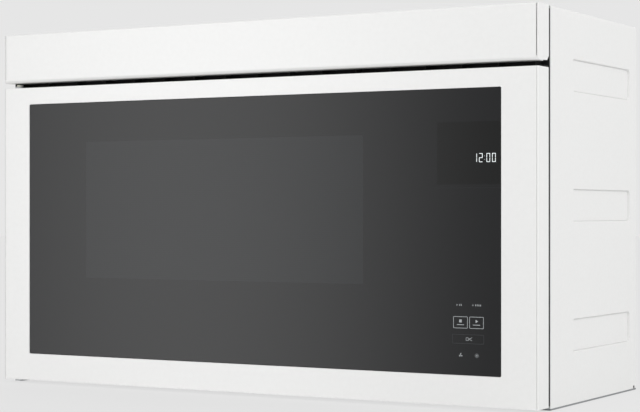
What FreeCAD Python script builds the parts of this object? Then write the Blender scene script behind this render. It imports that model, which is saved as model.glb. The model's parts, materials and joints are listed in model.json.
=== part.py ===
import FreeCAD, Part
import math
import os

# Over the range microwave oven with a full-width door hung on its left side.
# All sizes are millimetres. The origin is at the middle of the underside. +X is to the right
# of someone who faces the door, +Y runs from the door to the wall, and +Z is up.

# ---- Outside ----
WIDTH = 758.8
HEIGHT = 456.0
BODY_DEPTH = 278.0
DOOR_THICK = 30.6
SHADOW_GAP = 4.4          # dark joint between the door and the housing
FASCIA_HEIGHT = 64.0
VENT_GAP = 6.5            # air slot between the fascia and the door
DOOR_LIFT = 3.7           # door's lower edge above the underside

# ---- Sheets ----
WRAP_SHEET = 0.8
WRAP_BEND = 2.0
BASE_SHEET = 2.0
REAR_SHEET = 0.8
FRAME_SHEET = 1.2
LINER_SHEET = 0.8
DECK_SHEET = 1.2
DOOR_SHEET = 1.2
PAN_SHEET = 1.0

# ---- Pressed recesses in the sides ----
RECESS_COUNT = 3
RECESS_LENGTH = 191.0
RECESS_HEIGHT = 38.5
RECESS_PITCH = 150.6
RECESS_LOW_Z = 80.4       # middle of the lowest recess
RECESS_FROM_FRONT = 65.7  # from the housing's front edge
PRESS_DEPTH = 2.5
PRESS_DRAFT = 1.6
PRESS_CORNER = 4.0
NOTCH_LENGTH = 5.0        # small relief at the lower rear corner of each side
NOTCH_HEIGHT = 3.5
NOTCH_FROM_REAR = 5.0

# ---- Rooms round the cavity ----
LEFT_BAY = 71.4           # air duct and hinges
RIGHT_BAY = 157.4         # microwave source and latch
TOP_BAY = 114.0           # vent blower
UNDER_BAY = 106.0         # intake, waveguide and stirrer
REAR_BAY = 26.8
CAVITY_CORNER = 6.0
LINER_FLANGE = 10.0
CERAMIC_THICK = 4.0
CERAMIC_CLEAR = 1.2
INTAKE_HEIGHT = 44.0      # underside of the inner deck
DECK_FLANGE = 10.0
DUCT_FROM_FRAME = 60.0
DUCT_FROM_BACK = 10.0
BLOWER_DECK_GAP = 2.2     # air space between the liner and the blower deck

# ---- Front glass and door ----
GLASS_LEFT = 42.0         # white border left of the glass
GLASS_RIGHT = 45.0
GLASS_TOP = 22.0
GLASS_BOTTOM = 34.9
GLASS_THICK = 4.0
GLASS_SET = 0.2           # glass face behind the frame's face
GLASS_CLEAR = 0.3
GLASS_CORNER = 1.5
REBATE = 8.0              # ledge behind the glass
DOOR_FRONT_ROUND = 2.0
DOOR_REAR_ROUND = 3.0
DOOR_HINGE_ROUND = 6.0    # lets the hinged edge turn past the housing
BEND_CUT = 0.59           # straight cut that touches a bend of radius 1 in its middle
WINDOW_SIDE = 63.0        # cavity edge to the perforated window
WINDOW_ABOVE = 28.7
WINDOW_CORNER = 3.0
PLATEAU_MARGIN = 28.0     # raised sealing face round the cavity opening
SEAL_GAP = 0.8
CHOKE_OUT = 24.0
CHOKE_IN = 4.0
CHOKE_DEEP = 20.0
CHOKE_COVER = 1.5
CHOKE_LIP = 6.0
INNER_GLASS = 3.0
INNER_LAP = 8.0
SCREEN_SHEET = 0.5

# ---- Fascia ----
FASCIA_SHEET = 1.2
FASCIA_TOP_ROUND = 2.0
FASCIA_LOWER_ROUND = 4.5
FASCIA_CHAMFER = 5.0
FASCIA_LIP = 18.0         # depth of the lower return, which leaves the air slot open behind it
CAP_THICK = 1.6
LOUVER_DEPTH = 15.0
LOUVER_WALL = 1.5
LOUVER_RISE = 8.0         # height of the louvre above the fascia's lower edge
LOUVER_CLEAR = 0.85
VANE_PITCH = 46.0
VANE_THICK = 1.5
PORT_WIDTH = 100.0
PORT_HEIGHT = 40.0
PORT_PITCH = 125.0
PORT_COUNT = 4
FASCIA_BRACKET_WIDTH = 30.0
FASCIA_BRACKET_PITCH = 250.0
FASCIA_BRACKET_DROP = 26.0

# ---- Hinges ----
PIN_FROM_LEFT = 14.0
PIN_FROM_FRONT = 15.0
PIN_RADIUS = 3.0
PIN_LENGTH = 12.0
HINGE_RUN = 0.05          # running clearance of the pin in its bush
BUSH_SHANK = 11.0
BUSH_RIM = 14.0
BUSH_FLANGE = 0.5
HINGE_CLEAR = 0.3
TONGUE_WIDTH = 12.0
TONGUE_THICK = 2.4
TONGUE_CORNER = 2.0
TONGUE_NOSE = 4.5         # tongue ahead of the pin's axis
HINGE_PLATE_WIDTH = 36.0
HINGE_PLATE_HEIGHT = 34.0
HINGE_BLOCK_LENGTH = 24.0
HINGE_BLOCK_DEPTH = 21.0
HINGE_BLOCK_HEIGHT = 12.0

# ---- Latch ----
LATCH_FROM_CAVITY = 42.0
LATCH_THICK = 6.0
HOOK_ABOVE_FLOOR = 68.0   # lower hook above the cavity's floor
HOOK_BELOW_ROOF = 52.0    # upper hook below the cavity's roof
HOOK_HEIGHT = 8.0
HOOK_CORNER = 2.0
HOOK_REACH = 16.2         # hook's end behind the housing's front
NOSE_DROP = 5.0
NOSE_LENGTH = 6.0
NOSE_FROM_END = 4.0
LATCH_BAR = 8.8
LATCH_BAR_END = 20.0      # bar beyond the outer hooks
LATCH_TRAVEL = 4.5
SLOT_SIDE_CLEAR = 1.7
SLOT_HEIGHT_CLEAR = 0.8
LATCH_CLEAR = 0.3
LATCH_BOARD_THICK = 3.0
LATCH_BOARD_WIDTH = 42.0
LATCH_WALL = 3.0
LATCH_WALL_DEPTH = 38.0
SWITCH_DEPTH = 16.0
SWITCH_HEIGHT = 28.0
SWITCH_THICK = 10.3
PLUNGER_SIZE = 3.0
PLUNGER_PROUD = 2.2
PLUNGER_LENGTH = 5.0
PLUNGER_RUN = 0.06
LEVER_THICK = 5.0
LEVER_ARM = 28.9          # pivot to the lifting finger, along Y
LEVER_DROP = 11.7         # pivot below the finger's top
LEVER_HEIGHT = 5.0
FINGER_LENGTH = 4.6
LEVER_TAIL = 14.0         # pivot to the solenoid's axis
TAIL_THICK = 3.0
TAIL_PAST_ROD = 2.0
PIVOT_RADIUS = 2.5
PIVOT_BOSS = 5.0
SOLENOID_WIDTH = 14.0
SOLENOID_DEPTH = 22.0
SOLENOID_HEIGHT = 30.0
SOLENOID_STEP = 4.0
SOLENOID_FLOOR = 2.0
SOLENOID_DROP = 17.0      # pivot axis to the top of the solenoid
SOLENOID_ROD = 3.0        # half of the plunger's width
PLUNGER_HEAD = 11.0
PLUNGER_SLACK = 2.6
HEAD_PROUD = 3.0
HEAD_SLOT_ROOM = 1.0
HEAD_CHEEK = 1.8
SPRING_WIDTH = 7.0
SPRING_STRIP = 1.6
SPRING_TURNS = 4
SPRING_LENGTH = 24.0

# ---- Microwave source ----
WAVEGUIDE_DEPTH = 90.0
WAVEGUIDE_HEIGHT = 28.0
WAVEGUIDE_SHEET = 1.0
WAVEGUIDE_END = 36.0      # waveguide past the stirrer's axis and the magnetron's axis
WELL_RADIUS = 105.0
WELL_SIDES = 16
WELL_DEPTH = 14.0
COUPLING_RADIUS = 12.0
STIRRER_RADIUS = 80.0
STIRRER_SIDES = 32
STIRRER_THICK = 1.5
STIRRER_LIFT = 6.0
STIRRER_SHAFT = 4.0
STIRRER_SLOTS = 4
STIRRER_SLOT_WIDTH = 6.0
MOTOR_RADIUS = 25.0
MOTOR_EAR = 7.5
MOTOR_EAR_WIDTH = 12.0
MOTOR_EAR_THICK = 2.0
MOTOR_SIDES = 24
MAGNETRON_FROM_CAVITY = 68.0
MAGNETRON_WIDTH = 90.0
MAGNETRON_DEPTH = 80.0
MAGNETRON_HEIGHT = 66.0
YOKE_SHEET = 1.6
ANODE_RADIUS = 20.0
MAGNET_RADIUS = 27.0
MAGNET_THICK = 9.0
ANTENNA_RADIUS = 8.0
ANTENNA_LENGTH = 18.0
FIN_COUNT = 4
FIN_SHORTER = 10.0
FIN_SHEET = 0.8
FIN_HOLE_SIDES = 12
FILTER_BOX_WIDTH = 60.0
FILTER_BOX_DEPTH = 48.0
FILTER_BOX_HEIGHT = 28.0
CORE_WIDTH = 90.0
CORE_DEPTH = 62.0
CORE_HEIGHT = 76.0
CORE_LIMB = 15.0
COIL_PROUD = 12.0
COIL_FLAT = 2.0
CAPACITOR_WIDTH = 52.0
CAPACITOR_THICK = 32.0
CAPACITOR_FROM_WALL = 6.0
CAPACITOR_FROM_FRONT = 60.0
TERMINAL_FROM_MIDDLE = 12.0
TERMINAL_WIDTH = 6.3
TERMINAL_THICK = 0.8
TERMINAL_HEIGHT = 9.0
CAPACITOR_HEIGHT = 96.0
CLAMP_HEIGHT = 24.0
CLAMP_FOOT = 16.0
FAN_RADIUS = 43.0
FAN_HUB = 13.0
FAN_BLADES = 5
FAN_DEPTH = 12.0
FAN_TIP_CLEAR = 2.0
FAN_CHORD = 22.0
FAN_SLANT = 30.0          # degrees from the plane of the fan
FAN_BLADE_THICK = 1.4
FAN_ABOVE_DECK = 131.0
FAN_FROM_REAR = 92.0
SHROUD_SHEET = 1.2
SHROUD_WIDTH = 106.0
FAN_MOTOR_SIZE = 46.0
FAN_MOTOR_CORNER = 4.0
FAN_MOTOR_DEPTH = 16.0
FAN_SHAFT = 2.5
FAN_SHAFT_IN = 4.0
FAN_MOTOR_GAP = 4.0
FAN_ARM_WIDTH = 16.0

# ---- Vent blower ----
WHEEL_RADIUS = 38.0
WHEEL_INNER = 30.0
WHEEL_LENGTH = 60.0
WHEEL_PLATE = 1.5
BLADE_COUNT = 16
BLADE_THICK = 1.0
BLADE_SWEEP = 14.0        # degrees between a blade's inner and outer edge
VOLUTE_RADIUS = 42.0
VOLUTE_STEP = 5.0         # growth of the volute's radius in each quarter
VOLUTE_WALL = 1.2
VOLUTE_LENGTH = 68.0
VOLUTE_FROM_MIDDLE = 62.0
OUTLET_REACH = 88.0
OUTLET_FLOOR = 12.0
TONGUE_ROOM = 1.0
INLET_RADIUS = 29.0
BLOWER_FROM_REAR = 74.0
BLOWER_MOTOR_RADIUS = 31.0
BLOWER_MOTOR_LENGTH = 84.0
BLOWER_SHAFT = 4.0
BLOWER_RUN = 0.05
CRADLE_WIDTH = 24.0
CHARCOAL_LENGTH = 300.0
CHARCOAL_HEIGHT = 98.0
CHARCOAL_THICK = 14.0
CHARCOAL_BEHIND_FRAME = 2.0
CHARCOAL_CELLS = 10
CHARCOAL_BORDER = 8.0
CHARCOAL_RIB = 3.0

# ---- Underside ----
FILTER_FROM_MIDDLE = 232.0
FILTER_LENGTH = 188.0
FILTER_WIDTH = 142.0
FILTER_THICK = 9.0
FILTER_FROM_FRONT = 74.0
FILTER_FRAME = 9.0
FILTER_CORNER = 3.0
TAB_WIDTH = 26.0
TAB_LENGTH = 14.0
TAB_INSET = 1.0
FILTER_FRONT_LAP = 3.0
FILTER_REAR_LAP = 9.0
FILTER_SIDE_LAP = 5.0
FILTER_TRAVEL = 8.0
RAIL_SHEET = 1.2
RAIL_CLEAR = 0.4
RAIL_LIP = 4.0
LENS_LENGTH = 70.0
LENS_WIDTH = 34.0
LENS_CORNER = 6.0
LENS_FLANGE = 4.0
LENS_FLANGE_THICK = 1.5
LENS_CLEAR = 0.3
LENS_RECESS = 0.4
LENS_FROM_MIDDLE = 80.0
LENS_FROM_FRONT = 42.0
LAMP_HEIGHT = 18.0
LAMP_ROOF = 4.0

# ---- Top and rear ----
EXHAUST_LENGTH = 254.0
EXHAUST_WIDTH = 82.6
EXHAUST_FROM_REAR = 20.0
EXHAUST_LAP = 8.0
BOLT_SPACING = 612.0
BOLT_HOLE = 3.4
BOLT_FROM_FRONT = 60.0
BOLT_NUT = 9.0
BOLT_NUT_HEIGHT = 8.0
BOLT_PLATE = 40.0
BOLT_PLATE_CORNER = 4.0
BOLT_PLATE_SHEET = 1.6
CORD_FROM_RIGHT = 60.0
CORD_FROM_REAR = 45.0
CORD_POCKET = 46.0
GROMMET_BORE = 5.0
GROMMET_NECK = 9.0
GROMMET_FLANGE = 13.0
GROMMET_LIP = 2.0
GROMMET_DROP = 6.0
GROMMET_CORNER = 2.5
TAB_SLOT_SPACING = 500.0
TAB_SLOT_LENGTH = 40.0
TAB_SLOT_HEIGHT = 8.0
TAB_SLOT_Z = 12.0
RIB_LENGTH = 560.0
RIB_HEIGHT = 30.0
RIB_COUNT = 2
RIB_PITCH = 150.0

# ---- Electrics ----
BOARD_THICK = 1.6
BOARD_STANDOFF = 6.0
POWER_BOARD_LENGTH = 110.0
POWER_BOARD_HEIGHT = 112.0
POST_INSET = 8.0
POST_SIZE = 6.0
PARTS_INSET = 14.0
RELAY_PITCH = 22.0
RELAY_WIDTH = 16.0
RELAY_HEIGHT = 28.0
SMALL_CORE_LENGTH = 30.0
SMALL_CORE_HEIGHT = 26.0
SMALL_CORE_DEPTH = 24.0
CONNECTOR_LENGTH = 36.0
CONNECTOR_WIDTH = 8.0
CONNECTOR_HEIGHT = 10.0
POWER_BOARD_LIFT = 96.0   # board's lower edge above the cavity floor
FILTER_BOARD_LENGTH = 84.0
FILTER_BOARD_WIDTH = 60.0
FILTER_BOARD_FORWARD = 10.0
CHOKE_COIL_PLACE = 24.0
CHOKE_COIL_RADIUS = 15.0
CHOKE_COIL_HEIGHT = 14.0
FILTER_PART_LENGTH = 26.0
FILM_CAPACITOR_PLACE = 50.0
FILM_CAPACITOR_THICK = 12.0
FILM_CAPACITOR_HEIGHT = 20.0
FUSE_BLOCK_PLACE = 14.0
FUSE_BLOCK_WIDTH = 8.0
FUSE_BLOCK_HEIGHT = 9.0
CUTOUT_RADIUS = 8.0
CUTOUT_FROM_CORNER = 24.0
CUTOUT_HEIGHT = 9.0
TOUCH_MARGIN = 1.0        # touch board inside the ledge behind the glass
TOUCH_WIDTH = 74.0
TOUCH_BOTTOM = 12.0
DISPLAY_WIDTH = 60.0
DISPLAY_HEIGHT = 56.0
DISPLAY_THICK = 9.6
DISPLAY_FROM_TOP = 42.0
BUMPER_SIZE = 10.0
BUMPER_CORNER = 2.0
BUMPER_INSET = 20.0
BUMPER_CLEAR = 0.1

# ---- Places that follow from the sizes ----
DEPTH = DOOR_THICK + SHADOW_GAP + BODY_DEPTH
LEFT = -WIDTH / 2
RIGHT = WIDTH / 2
FRONT = -DEPTH / 2
REAR = DEPTH / 2
DOOR_BACK = FRONT + DOOR_THICK
BODY_FRONT = DOOR_BACK + SHADOW_GAP
FRAME_BACK = BODY_FRONT + FRAME_SHEET
FASCIA_BOTTOM = HEIGHT - FASCIA_HEIGHT
DOOR_TOP = FASCIA_BOTTOM - VENT_GAP
SEAL_FACE = BODY_FRONT - SEAL_GAP
CAVITY_X = (LEFT + LEFT_BAY, RIGHT - RIGHT_BAY)
CAVITY_Y = (FRAME_BACK, REAR - REAR_BAY)
CAVITY_Z = (UNDER_BAY, HEIGHT - TOP_BAY)
HOOK_LOW_Z = CAVITY_Z[0] + HOOK_ABOVE_FLOOR
HOOK_HIGH_Z = CAVITY_Z[1] - HOOK_BELOW_ROOF
OPENING_Z = (CAVITY_Z[0] + CERAMIC_THICK, CAVITY_Z[1])
STIRRER_X = sum(CAVITY_X) / 2
STIRRER_Y = sum(CAVITY_Y) / 2
WELL_BOTTOM = CAVITY_Z[0] - WELL_DEPTH - LINER_SHEET
WAVEGUIDE_BOTTOM = WELL_BOTTOM - WAVEGUIDE_HEIGHT
DECK_TOP = INTAKE_HEIGHT + DECK_SHEET
BLOWER_DECK_Z = CAVITY_Z[1] + LINER_SHEET + BLOWER_DECK_GAP
BLOWER_DECK_TOP = BLOWER_DECK_Z + DECK_SHEET
BLOWER_Y = REAR - BLOWER_FROM_REAR
BLOWER_Z = BLOWER_DECK_TOP + VOLUTE_RADIUS + VOLUTE_STEP / 2 + VOLUTE_WALL
MAGNETRON_X = CAVITY_X[1] + MAGNETRON_FROM_CAVITY
FAN_Y = REAR - FAN_FROM_REAR
FAN_Z = DECK_TOP + FAN_ABOVE_DECK
LATCH_X = CAVITY_X[1] + LATCH_FROM_CAVITY
PIN_X = LEFT + PIN_FROM_LEFT
PIN_Y = FRONT + PIN_FROM_FRONT
HOOK_END = BODY_FRONT + HOOK_REACH
PIVOT_Y = HOOK_END - NOSE_FROM_END - NOSE_LENGTH / 2 + LEVER_ARM
PIVOT_Z = HOOK_LOW_Z - HOOK_HEIGHT / 2 - NOSE_DROP - LATCH_CLEAR - LEVER_DROP
SOLENOID_Y = PIVOT_Y + LEVER_TAIL
SOLENOID_TOP = PIVOT_Z - SOLENOID_DROP
LATCH_WALL_X = LATCH_X + LATCH_THICK / 2 + SLOT_SIDE_CLEAR + 1.8
GLASS_X = (LEFT + GLASS_LEFT, RIGHT - GLASS_RIGHT)
GLASS_Z = (DOOR_LIFT + GLASS_BOTTOM, DOOR_TOP - GLASS_TOP)
GLASS_BACK = FRONT + GLASS_SET + GLASS_THICK
CORD_X = RIGHT - CORD_FROM_RIGHT
CORD_Y = REAR - CORD_FROM_REAR


# ---- Drawing tools ----
def point(axis, u, v, w):
    """Point at w along the axis, with u and v along the other two axes in X, Y, Z order."""
    places = {"X": (w, u, v), "Y": (u, w, v), "Z": (u, v, w)}
    return FreeCAD.Vector(*places[axis])


def outline(axis, corners, w):
    """Closed wire through corners (u, v) or (u, v, radius), square to the axis at w."""
    edges = []
    ends = []
    for index, corner in enumerate(corners):
        here = FreeCAD.Vector(corner[0], corner[1], 0)
        radius = corner[2] if len(corner) > 2 else 0.0
        if radius <= 0.0:
            ends.append((here, here))
            continue
        before = corners[index - 1]
        after = corners[(index + 1) % len(corners)]
        back = (FreeCAD.Vector(before[0], before[1], 0) - here).normalize()
        ahead = (FreeCAD.Vector(after[0], after[1], 0) - here).normalize()
        half = back.getAngle(ahead) / 2
        start = here + back * (radius / math.tan(half))
        end = here + ahead * (radius / math.tan(half))
        middle = here + (back + ahead).normalize() * (radius / math.sin(half) - radius)
        places = [point(axis, p.x, p.y, w) for p in (start, middle, end)]
        edges.append((index, Part.Arc(*places).toShape()))
        ends.append((start, end))
    arcs = dict(edges)
    ordered = []
    for index in range(len(corners)):
        if index in arcs:
            ordered.append(arcs[index])
        start = ends[index][1]
        end = ends[(index + 1) % len(corners)][0]
        if start.distanceToPoint(end) > 1e-6:
            ordered.append(Part.makeLine(point(axis, start.x, start.y, w), point(axis, end.x, end.y, w)))
    return Part.Wire(ordered)


def rectangle(u, v, radius=0.0):
    """Corners of a rectangle between two values of u and two of v."""
    return [(u[0], v[0], radius), (u[1], v[0], radius), (u[1], v[1], radius), (u[0], v[1], radius)]


def trimmed(u, v, cut):
    """Corners of a rectangle whose corners are cut off straight."""
    corners = [(u[0] + cut, v[0]), (u[1] - cut, v[0]), (u[1], v[0] + cut), (u[1], v[1] - cut)]
    return corners + [(u[1] - cut, v[1]), (u[0] + cut, v[1]), (u[0], v[1] - cut), (u[0], v[0] + cut)]


def polygon(u, v, radius, sides):
    """Corners of a regular polygon around a place."""
    turns = [2 * math.pi * index / sides for index in range(sides)]
    return [(u + radius * math.cos(turn), v + radius * math.sin(turn)) for turn in turns]


def slab(axis, corners, span):
    """Solid with the outline through the corners, between two places along the axis."""
    face = Part.Face(outline(axis, corners, span[0]))
    return face.extrude(point(axis, 0, 0, span[1] - span[0]))


def box(x, y, z):
    return Part.makeBox(x[1] - x[0], y[1] - y[0], z[1] - z[0], FreeCAD.Vector(x[0], y[0], z[0]))


def rod(axis, u, v, radius, span):
    """Cylinder along an axis, at u and v on the other two."""
    return Part.makeCylinder(radius, span[1] - span[0], point(axis, u, v, span[0]), point(axis, 0, 0, 1))


def about(middle, size):
    """Two ends of a length centred on a place."""
    return (middle - size / 2, middle + size / 2)


def grown(span, margin):
    return (span[0] - margin, span[1] + margin)


def fused(shapes):
    """One solid from pieces that meet."""
    return shapes[0].fuse(shapes[1:]).removeSplitter()


def group(shapes):
    """Separate solids kept in one sub-part."""
    return Part.makeCompound(shapes)


def press_form(axis, u, v, face, inward, grow):
    """Form of a pressed recess: a mouth on the face and a smaller floor further in."""
    mouth = trimmed(grown(u, grow), grown(v, grow), PRESS_CORNER)
    floor = trimmed(grown(u, grow - PRESS_DRAFT), grown(v, grow - PRESS_DRAFT), PRESS_CORNER)
    floor_wire = outline(axis, floor, face + inward * (PRESS_DEPTH + grow))
    return Part.makeLoft([outline(axis, mouth, face), floor_wire], True, True)


def pressed(sheet, thick, recesses):
    """Sheet with recesses pressed into it, each given as (axis, u, v, face, inward)."""
    for recess in recesses:
        sheet = sheet.fuse(press_form(*recess, thick))
    for recess in recesses:
        sheet = sheet.cut(press_form(*recess, 0.0))
    return sheet


# ---- Housing shells ----
def outer_wrap():
    """Top and sides, bent from one sheet, with pressed recesses and the holes of the top."""
    y = (BODY_FRONT, REAR)
    outside = [(LEFT, BASE_SHEET), (LEFT, HEIGHT, WRAP_BEND)]
    outside += [(RIGHT, HEIGHT, WRAP_BEND), (RIGHT, BASE_SHEET)]
    room = WRAP_BEND - WRAP_SHEET
    inner_left = LEFT + WRAP_SHEET
    inner_right = RIGHT - WRAP_SHEET
    inner_top = HEIGHT - WRAP_SHEET
    inside = [(inner_left, BASE_SHEET), (inner_left, inner_top, room), (inner_right, inner_top, room)]
    inside.append((inner_right, BASE_SHEET))
    sheet = slab("Y", outside, y).cut(slab("Y", inside, y))
    recesses = []
    recess_y = (BODY_FRONT + RECESS_FROM_FRONT, BODY_FRONT + RECESS_FROM_FRONT + RECESS_LENGTH)
    for index in range(RECESS_COUNT):
        recess_z = about(RECESS_LOW_Z + index * RECESS_PITCH, RECESS_HEIGHT)
        recesses.append(("X", recess_y, recess_z, LEFT, 1))
        recesses.append(("X", recess_y, recess_z, RIGHT, -1))
    recesses.append(("Z", about(CORD_X, CORD_POCKET), about(CORD_Y, CORD_POCKET), HEIGHT, -1))
    sheet = pressed(sheet, WRAP_SHEET, recesses)
    top = (HEIGHT - PRESS_DEPTH - WRAP_SHEET, HEIGHT)
    holes = [slab("Z", trimmed(about(0.0, EXHAUST_LENGTH), exhaust_y(), PRESS_CORNER), top)]
    holes.append(slab("Z", grommet_outline(GROMMET_NECK), top))
    for side in (-1, 1):
        holes.append(rod("Z", side * BOLT_SPACING / 2, bolt_y(), BOLT_HOLE, top))
    notch_y = (REAR - NOTCH_FROM_REAR - NOTCH_LENGTH, REAR - NOTCH_FROM_REAR)
    holes.append(box((LEFT, RIGHT), notch_y, (BASE_SHEET, BASE_SHEET + NOTCH_HEIGHT)))
    return sheet.cut(holes)


def exhaust_y():
    return (REAR - EXHAUST_FROM_REAR - EXHAUST_WIDTH, REAR - EXHAUST_FROM_REAR)


def bolt_y():
    return BODY_FRONT + BOLT_FROM_FRONT


def filter_y():
    front = BODY_FRONT + FILTER_FROM_FRONT
    return (front, front + FILTER_WIDTH)


def lens_y():
    return about(BODY_FRONT + LENS_FROM_FRONT, LENS_WIDTH)


def filter_rails(middle):
    """Two angle rails in which a grease filter slides."""
    rails = []
    y = (filter_y()[0], filter_y()[1] + FILTER_TRAVEL)
    foot = BASE_SHEET
    lip = foot + FILTER_THICK + RAIL_CLEAR
    for side in (-1, 1):
        inner = middle + side * (FILTER_LENGTH / 2 + RAIL_CLEAR)
        outer = inner + side * RAIL_SHEET
        end = inner - side * RAIL_LIP
        corners = [(inner, foot), (outer, foot), (outer, lip + RAIL_SHEET), (end, lip + RAIL_SHEET)]
        corners += [(end, lip), (inner, lip)]
        rails.append(slab("Y", corners, y))
    return rails


def base_plate():
    """Flat underside with openings for the grease filters, the lamps and the lower hinge."""
    span = (0.0, BASE_SHEET)
    plate = slab("Z", rectangle((LEFT, RIGHT), (BODY_FRONT, REAR)), span)
    y = (filter_y()[0] + FILTER_FRONT_LAP, filter_y()[1] - FILTER_REAR_LAP)
    rails = []
    for side in (-1, 1):
        middle = side * FILTER_FROM_MIDDLE
        x = about(middle, FILTER_LENGTH - 2 * FILTER_SIDE_LAP)
        plate = plate.cut(slab("Z", trimmed(x, y, PRESS_CORNER), span))
        plate = plate.cut(slab("Z", lens_corners(side, 0.0), span))
        rails += filter_rails(middle)
    hinge_x = grown((PIN_X - TONGUE_WIDTH / 2, PIN_X - TONGUE_WIDTH / 2 + HINGE_PLATE_WIDTH), HINGE_CLEAR)
    hinge_y = (BODY_FRONT, FRAME_BACK + TONGUE_THICK + HINGE_CLEAR)
    plate = plate.cut(box(hinge_x, hinge_y, span))
    return fused([plate] + rails)


def rear_panel():
    """Back sheet with two long stiffening ribs and the slots that hook on the wall plate."""
    x = (LEFT + WRAP_SHEET, RIGHT - WRAP_SHEET)
    z = (BASE_SHEET, HEIGHT - WRAP_SHEET)
    sheet = slab("Y", rectangle(x, z), (REAR - REAR_SHEET, REAR))
    ribs = []
    for index in range(RIB_COUNT):
        middle = sum(z) / 2 + (index - (RIB_COUNT - 1) / 2) * RIB_PITCH
        ribs.append(("Y", about(0.0, RIB_LENGTH), about(middle, RIB_HEIGHT), REAR, -1))
    sheet = pressed(sheet, REAR_SHEET, ribs)
    for side in (-1, 1):
        slot_x = about(side * TAB_SLOT_SPACING / 2, TAB_SLOT_LENGTH)
        sheet = sheet.cut(box(slot_x, (REAR - REAR_SHEET, REAR), about(TAB_SLOT_Z, TAB_SLOT_HEIGHT)))
    return sheet


def hook_slot(z, span):
    """Slot that a latch hook passes through, with room for its lift."""
    low = z - HOOK_HEIGHT / 2 - NOSE_DROP - SLOT_HEIGHT_CLEAR
    high = z + HOOK_HEIGHT / 2 + LATCH_TRAVEL + SLOT_HEIGHT_CLEAR
    return box(grown(about(LATCH_X, LATCH_THICK), SLOT_SIDE_CLEAR), span, (low, high))


def front_frame():
    """Plate that the door closes on, with the cavity's opening, the air ports, the slots and the
    angles that carry the fascia."""
    span = (BODY_FRONT, FRAME_BACK)
    x = (LEFT + WRAP_SHEET, RIGHT - WRAP_SHEET)
    plate = slab("Y", rectangle(x, (BASE_SHEET, HEIGHT - WRAP_SHEET)), span)
    holes = [slab("Y", rectangle(CAVITY_X, OPENING_Z, CAVITY_CORNER), span)]
    holes += [hook_slot(z, span) for z in (HOOK_LOW_Z, HOOK_HIGH_Z)]
    port_z = about((FASCIA_BOTTOM + HEIGHT) / 2, PORT_HEIGHT)
    for index in range(PORT_COUNT):
        middle = (index - (PORT_COUNT - 1) / 2) * PORT_PITCH
        holes.append(slab("Y", trimmed(about(middle, PORT_WIDTH), port_z, CAVITY_CORNER), span))
    tongue_x = grown(about(PIN_X, TONGUE_WIDTH), HINGE_CLEAR)
    for low in (upper_tongue_z(), lower_tongue_z()):
        holes.append(box(tongue_x, span, grown((low, low + TONGUE_THICK), HINGE_CLEAR)))
    return fused([plate.cut(holes)] + fascia_brackets())


# ---- Cavity ----
def cavity_liner():
    """Five-sided sheet liner with a front flange and a round well for the stirrer."""
    back = CAVITY_Y[1] + LINER_SHEET
    shell = slab("Y", cavity_corners(LINER_SHEET), (CAVITY_Y[0], back))
    flange_z = (CAVITY_Z[0] - LINER_FLANGE, CAVITY_Z[1] + LINER_SHEET)
    flange_y = (CAVITY_Y[0], CAVITY_Y[0] + LINER_SHEET)
    flange = slab("Y", trimmed(grown(CAVITY_X, LINER_FLANGE), flange_z, CAVITY_CORNER), flange_y)
    outer = polygon(STIRRER_X, STIRRER_Y, WELL_RADIUS + LINER_SHEET, WELL_SIDES)
    inner = polygon(STIRRER_X, STIRRER_Y, WELL_RADIUS, WELL_SIDES)
    liner = fused([shell, flange, slab("Z", outer, (WELL_BOTTOM, CAVITY_Z[0]))])
    liner = liner.cut(slab("Y", cavity_corners(0.0), CAVITY_Y))
    liner = liner.cut(slab("Z", inner, (WELL_BOTTOM + LINER_SHEET, CAVITY_Z[0])))
    coupling = polygon(STIRRER_X, STIRRER_Y, COUPLING_RADIUS, WELL_SIDES)
    return liner.cut(slab("Z", coupling, (WELL_BOTTOM, CAVITY_Z[0])))


def cavity_corners(grow):
    """Corners of the cavity's section, sharp at the floor and round at the roof."""
    x = grown(CAVITY_X, grow)
    z = grown(CAVITY_Z, grow)
    roof = CAVITY_CORNER + grow
    return [(x[0], z[0]), (x[1], z[0]), (x[1], z[1], roof), (x[0], z[1], roof)]


def ceramic_floor():
    corners = trimmed(grown(CAVITY_X, -CERAMIC_CLEAR), grown(CAVITY_Y, -CERAMIC_CLEAR), CAVITY_CORNER)
    return slab("Z", corners, (CAVITY_Z[0], OPENING_Z[0]))


def waveguide():
    """Rectangular tube under the cavity, from the magnetron to the stirrer's well."""
    x = (STIRRER_X - WAVEGUIDE_END, MAGNETRON_X + WAVEGUIDE_END)
    y = about(STIRRER_Y, WAVEGUIDE_DEPTH)
    z = (WAVEGUIDE_BOTTOM, WELL_BOTTOM)
    wall = WAVEGUIDE_SHEET
    shell = box(x, y, z).cut(box(grown(x, -wall), grown(y, -wall), grown(z, -wall)))
    coupling = polygon(STIRRER_X, STIRRER_Y, COUPLING_RADIUS, WELL_SIDES)
    holes = [slab("Z", coupling, (z[1] - wall, z[1])), slab("Z", antenna_hole(), (z[1] - wall, z[1]))]
    holes.append(rod("Z", STIRRER_X, STIRRER_Y, STIRRER_SHAFT + HINGE_RUN, (z[0], z[0] + wall)))
    return shell.cut(holes)


def antenna_hole():
    return polygon(MAGNETRON_X, STIRRER_Y, ANTENNA_RADIUS + LATCH_CLEAR, WELL_SIDES)


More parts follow.
